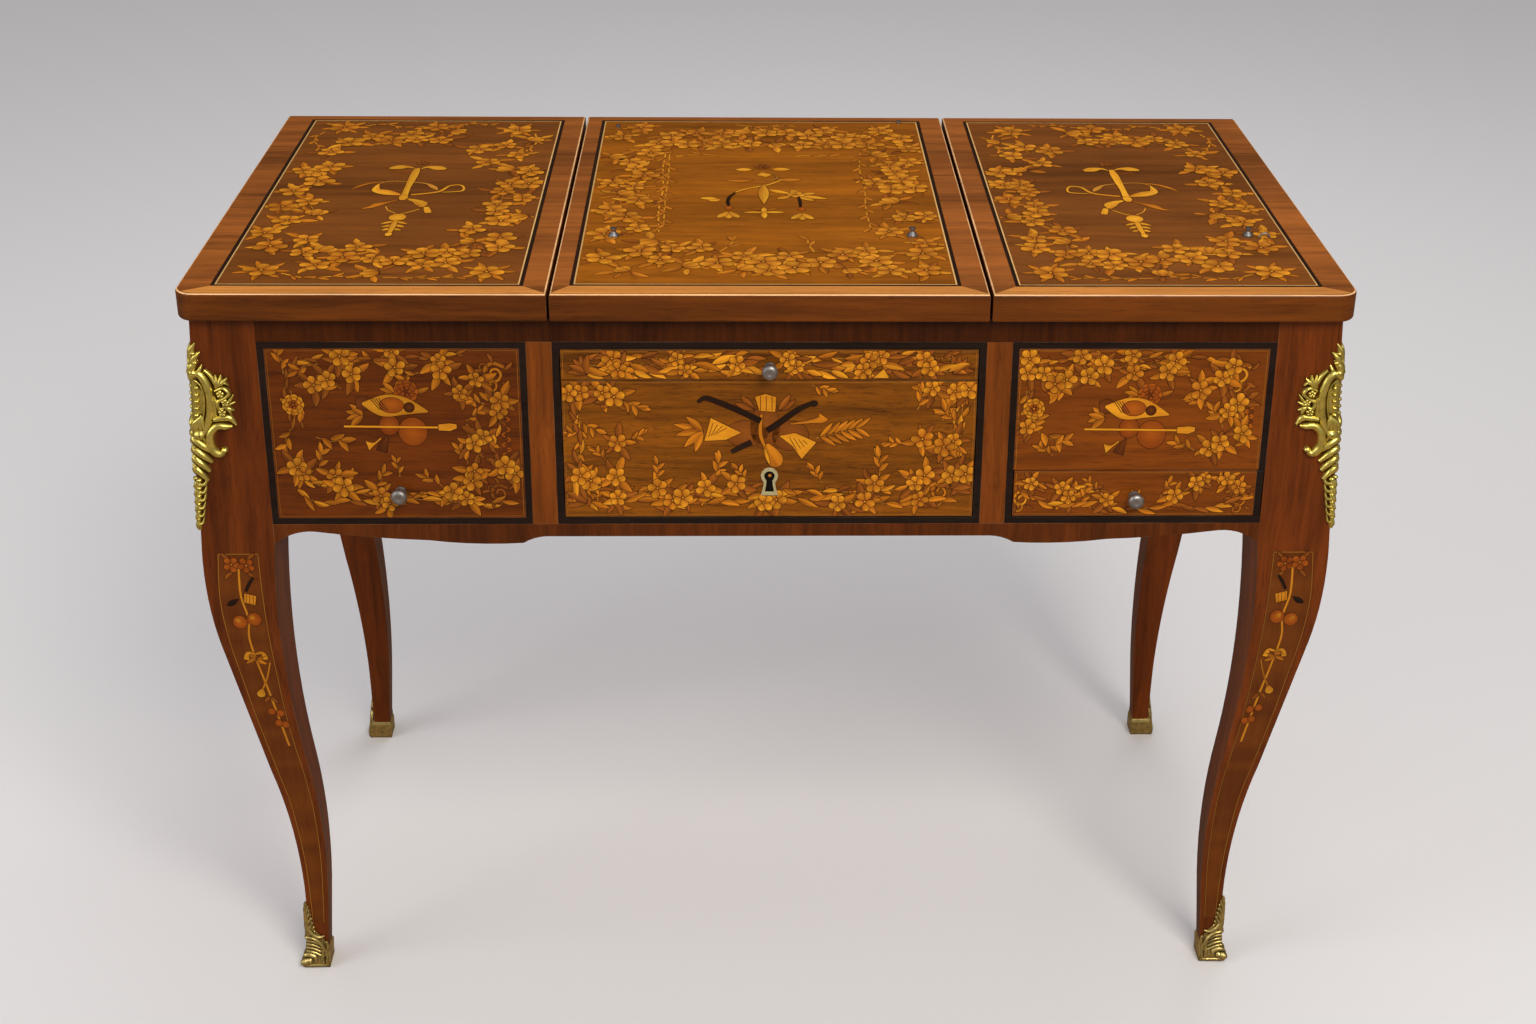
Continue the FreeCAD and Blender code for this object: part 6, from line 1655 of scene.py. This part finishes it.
class Casting:
    """Chased strokes in mm on the two outer faces of a corner."""

    def __init__(self, ground, bottom, top):
        """The ground is the piece whose arris the strokes lie on."""
        tree = BVHTree.FromObject(nodes[ground], bpy.context.evaluated_depsgraph_get())
        self.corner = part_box("leg_front_left")[0] / MM
        self.bottom, self.top = bottom, top
        self.insets = []
        for height in range(bottom, top + 1):
            start = Vector((self.corner.x - RAY_REACH, self.corner.y - RAY_REACH, height)) * MM
            hit = tree.ray_cast(start, Vector((1, 1, 0)).normalized())[0]
            self.insets.append(hit.x / MM - self.corner.x if hit else self.insets[-1])
        self.points, self.faces = [], []

    def inset(self, height):
        spot = min(max(height - self.bottom, 0), self.top - self.bottom - 0.001)
        share = spot - int(spot)
        return self.insets[int(spot)] * (1 - share) + self.insets[int(spot) + 1] * share

    def put(self, along, up, lift):
        """Unrolled corner to table, in metres, for the front left corner."""
        inset = self.inset(up)
        side = max(along, 0)
        back = max(-along, 0)
        swing = min(max((along + ARRIS_SOFTNESS) / (2 * ARRIS_SOFTNESS), 0), 1) * math.pi / 2
        x = self.corner.x + inset + side - lift * math.cos(swing)
        y = self.corner.y + inset + back - lift * math.sin(swing)
        return Vector((x * MM, y * MM, up * MM))

    def add_rows(self, rows, both):
        """Add rows of points on the front, and on the side too if both are wanted."""
        for way in ((1, -1) if both else (1,)):
            start = len(self.points)
            for row in rows:
                self.points.extend(self.put(way * along, up, lift) for along, up, lift in row)
            width = len(rows[0])
            for row in range(len(rows) - 1):
                for step in range(width - 1):
                    first = start + row * width + step
                    face = (first, first + 1, first + width + 1, first + width)
                    self.faces.append(face if way > 0 else face[::-1])

    def stroke(self, corners, widths, heights, both=True, lift=0.0):
        """A rounded ridge through corners; widths are half widths."""
        spine = smooth_curve(corners, STROKE_STEPS)
        sizes = smooth_curve(list(zip(widths, heights)), STROKE_STEPS)
        rows = []
        for point, side, (width, height) in zip(spine, side_directions(spine), sizes):
            row = []
            for step in range(RIDGE_STEPS + 1):
                angle = math.pi * step / RIDGE_STEPS
                reach = math.cos(angle) * max(width, LEAST_RIDGE)
                row.append((point[0] + side[0] * reach, point[1] + side[1] * reach,
                            lift + math.sin(angle) * max(height, LEAST_RIDGE)))
            rows.append(row)
        self.add_rows(rows, both)

    def pearl(self, centre, radius, height, both=True, lift=0.0):
        """A round boss."""
        rows = []
        for level in PEARL_LEVEL_SHARES:
            ring = math.sqrt(1 - level * level) * radius
            rows.append([(centre[0] + ring * math.cos(math.tau * step / PEARL_SIDES),
                          centre[1] + ring * math.sin(math.tau * step / PEARL_SIDES),
                          lift + level * height) for step in range(PEARL_SIDES + 1)])
        self.add_rows(rows, both)

    def small_flower(self, centre, radius, lift):
        """Five bosses round a smaller one."""
        for step in range(5):
            spot = polar(centre, math.tau * step / 5 + 0.3, radius * 0.62)
            self.pearl(spot, radius * 0.46, radius * 0.5, True, lift)
        self.pearl(centre, radius * 0.3, radius * 0.62, True, lift)

    def cast(self, name, material, across_way, depth_way, replaced=None):
        """Make the mesh for one corner; the ways mirror it to the other corners."""
        mesh = bpy.data.meshes.new(name)
        points = [(point.x * across_way, point.y * depth_way, point.z) for point in self.points]
        turned_over = across_way * depth_way < 0
        mesh.from_pydata(points, [], [face[::-1] if turned_over else face for face in self.faces])
        for face in mesh.polygons:
            face.use_smooth = True
        mesh.materials.append(material)
        piece = new_object(name, mesh)
        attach(piece, "case")
        if replaced:
            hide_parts(replaced)
        print(name, "has", len(self.faces), "faces")


# %% [markdown]
# The corner mount hangs from a bud. A C-shaped band holds a string of pearls, flowers and leaves
# spring from its side, a second scroll curls below them, and a tail of husks runs down the arris.
# Heights are millimetres above the floor, and the first number of a place is the distance from the
# arris.

# %% Corner mounts
CHUTE_BOTTOM = 500
CHUTE_TOP = 690
chute = Casting("leg_front_left", CHUTE_BOTTOM, CHUTE_TOP)
chute.stroke([(0, 655), (0, 630), (0, 600), (0, 568)], [4, 7, 7, 5], [1.2] * 4, False)
chute.stroke([(8, 644), (9, 615), (8, 586)], [5, 7, 5], [1.0] * 3)
chute.stroke([(0, 653), (1.5, 662), (6, 668)], [2.2, 3.0, 0.8], [3.6, 4.6, 1.4])
chute.stroke([(4, 653), (7, 659), (9, 664)], [1.8, 2.4, 0.6], [3.2, 3.8, 1.2])
chute.stroke([(0.5, 662), (4, 671), (8, 675)], [1.8, 2.6, 0.6], [3.4, 4.0, 1.2])
chute.stroke([(0, 670), (1, 677), (4, 683)], [2.2, 2.4, 0.5], [3.6, 3.4, 1.0])
for centre, radius in (((2, 657), 2.8), ((4, 666), 2.4), ((2.5, 674), 2.0)):
    chute.pearl(centre, radius, radius * 1.9)
chute.stroke([(-1, 651), (5, 656), (11, 649), (14.5, 637), (14.5, 624), (12.5, 612), (9, 603),
              (4, 598)],
             [2.0, 3.4, 4.0, 4.0, 3.8, 3.6, 3.4, 3.0], [4.0, 5.0, 5.6, 5.8, 5.6, 5.2, 4.8, 4.0])
chute.pearl((5, 600), 5.4, 6.2)
chute.stroke([(3, 650), (8, 644), (10, 634), (9.4, 622), (7, 611)], [0.8, 1.2, 1.3, 1.2, 0.8],
             [3.6] * 5)
for number in range(5):
    chute.pearl((4.0 - 0.2 * number, 643 - 6.2 * number), 2.2, 4.0)
for tip in ((-1, 604), (2, 600), (6, 598), (10, 600)):
    middle = ((7 + tip[0]) / 2 - 1, 611)
    chute.stroke([(7, 618), middle, tip], [1.4, 2.6, 1.6], [3.6, 5.2, 3.4])
chute.stroke([(13, 642), (18, 630), (17, 615)], [1.6, 3.2, 3.0], [2.6, 3.8, 3.4])
chute.stroke([(33, 608), (27, 607.5), (20, 608), (14.5, 603), (13, 595), (14.5, 587), (20, 582),
              (25, 584)],
             [1.6, 3.2, 3.8, 4.2, 4.4, 4.2, 3.8, 2.8], [3.2, 4.6, 5.4, 6.2, 6.4, 6.0, 5.2, 4.2])
chute.pearl((25, 585.5), 3.4, 4.8)
chute.stroke([(17, 614), (25, 615.5), (31, 615), (36, 609)], [2.4, 3.2, 3.0, 1.2],
             [4.8, 4.8, 4.0, 2.8])
chute.stroke([(11, 659), (16, 654), (20, 647)], [1.6, 2.1, 2.4], [3.4, 4.0, 4.4])
for tip, width in (((20, 655), 2.2), ((25, 655), 2.6), ((30, 652), 2.4), ((31, 645), 1.8)):
    chute.stroke([(20, 643), ((20 + tip[0]) / 2 + 1, 648), tip], [1.8, width, 0.8], [3.2, 4.6, 2.6])
chute.stroke([(19, 640), (26, 643), (31, 638), (26, 633), (21, 630), (23, 624), (30, 627)],
             [1.4, 2.0, 2.2, 2.0, 2.2, 2.0, 1.0], [3.6, 4.8, 5.2, 4.8, 5.2, 4.8, 3.0])
for tip in ((35, 637), (36, 630), (35, 622), (32, 618)):
    chute.stroke([(26, 626), (31, (626 + tip[1]) / 2), tip], [1.6, 2.0, 0.7], [3.4, 4.0, 2.0])
for centre in ((24, 638), (28, 630), (25, 621)):
    chute.small_flower(centre, 3.4, 3.8)
chute.stroke([(3, 603), (7, 598), (13, 588)], [1.2, 2.2, 1.0], [3.4, 4.6, 2.8])
for number in range(4):
    up = 598 - 8.6 * number
    reach = 16.0 - 2.2 * number
    chute.stroke([(-2, up), (reach * 0.45, up - 8), (reach, up - 15)], [2.4, 3.8 - 0.3 * number, 1.8],
                 [4.2, 6.2 - 0.4 * number, 3.2])
for number in range(6):
    up = 556 - 7.4 * number
    size = 1.0 - 0.10 * number
    chute.stroke([(0, up + 1), (0, up - 4), (0, up - 9)], [3.0 * size, 3.6 * size, 1.0], [3.6, 4.4, 2.0],
                 False)
    chute.stroke([(1, up - 3), (6.5 * size, up - 2), (8.5 * size, up + 4)], [1.4, 2.2 * size, 0.6],
                 [3.0, 3.6, 1.6])
    chute.pearl((2.5 * size, up + 2), 2.2 * size, 4.8)
chute.cast("chute_left", gilding, 1, 1, "chute_front_left")
chute.cast("chute_right", gilding, -1, 1, "chute_front_right")

# %% [markdown]
# The shoes protect the feet. A narrow leaf with a pearled edge climbs the arris, two leaf bands sweep
# across its foot, and a small curl stands at the inner side. Ribs cross the block, and the toe rolls
# into a volute where it meets the floor. The strokes follow the cast shoe. Those that run past it,
# onto the wood, are sunk a little, so that their ends don't stand off the leg.

# %% Shoes
SHOE_BOTTOM = 1
SHOE_TOP = 76
ON_WOOD = -0.7
shoe = Casting("sabot_front_left", SHOE_BOTTOM, SHOE_TOP)
shoe.stroke([(0, 34), (0, 48), (0, 62), (0, 75)], [3.8, 3.4, 2.6, 0.5], [2.2, 2.6, 2.2, 0.8], False)
for number in range(4):
    up = 42 + 7.0 * number
    reach = 5.4 - 0.6 * number
    shoe.stroke([(1.2, up), (reach * 0.65, up + 4), (reach, up + 9)], [1.1, 1.4, 0.5], [2.6, 3.0, 1.2],
                lift=ON_WOOD)
for number in range(6):
    shoe.pearl((7.6 - 0.75 * number, 41 + 5.0 * number), 1.25, 2.2, lift=ON_WOOD)
shoe.stroke([(1, 45), (5, 38), (11, 34), (17, 35)], [1.7, 2.2, 1.9, 0.6], [3.2, 3.8, 3.4, 1.6],
            lift=ON_WOOD)
shoe.stroke([(-1, 34), (6, 33), (13, 27), (18, 19), (21, 13)], [1.7, 2.0, 1.8, 1.5, 1.0],
            [3.2, 3.8, 3.6, 3.0, 2.2])
shoe.stroke([(16.5, 11), (18.5, 14.5), (19.6, 19), (19.8, 24), (18.6, 28), (17, 26.5)],
            [1.2, 1.5, 1.4, 1.2, 1.0, 0.7], [2.4, 2.8, 2.6, 2.4, 2.2, 1.4], lift=ON_WOOD)
for number in range(4):
    up = 28 - 3.8 * number
    shoe.stroke([(0, up + 1.5), (6, up + 0.6), (12.5 + 0.8 * number, up - 3)], [1.4, 1.5, 1.0],
                [1.8, 2.2, 1.6])
shoe.stroke([(13, 26), (16, 19), (17, 12), (19, 5)], [1.2, 1.7, 1.9, 2.2], [2.2, 2.8, 2.8, 2.0])
shoe.stroke([(21, 13), (22, 8), (22.5, 3)], [1.0, 1.3, 1.4], [1.6, 2.0, 1.6])
shoe.stroke([(11.5, 7), (9.5, 12), (4, 14.5), (-1, 14)], [1.6, 2.2, 2.4, 2.4], [2.2, 3.0, 3.2, 3.2])
shoe.stroke([(0, 2.6), (8, 2.4), (16, 2.4), (24, 2.6)], [2.2, 2.0, 1.8, 1.6], [2.0, 1.8, 1.6, 1.2])
shoe.pearl((4.5, 8), 4.0, 3.6)
shoe.pearl((0, 7), 4.6, 4.6, False)
SHOE_CORNERS = {"front_left": (1, 1), "front_right": (-1, 1), "rear_left": (1, -1),
                "rear_right": (-1, -1)}
for corner, (across_way, depth_way) in SHOE_CORNERS.items():
    shoe.cast("shoe_" + corner, shoe_gilding, across_way, depth_way)
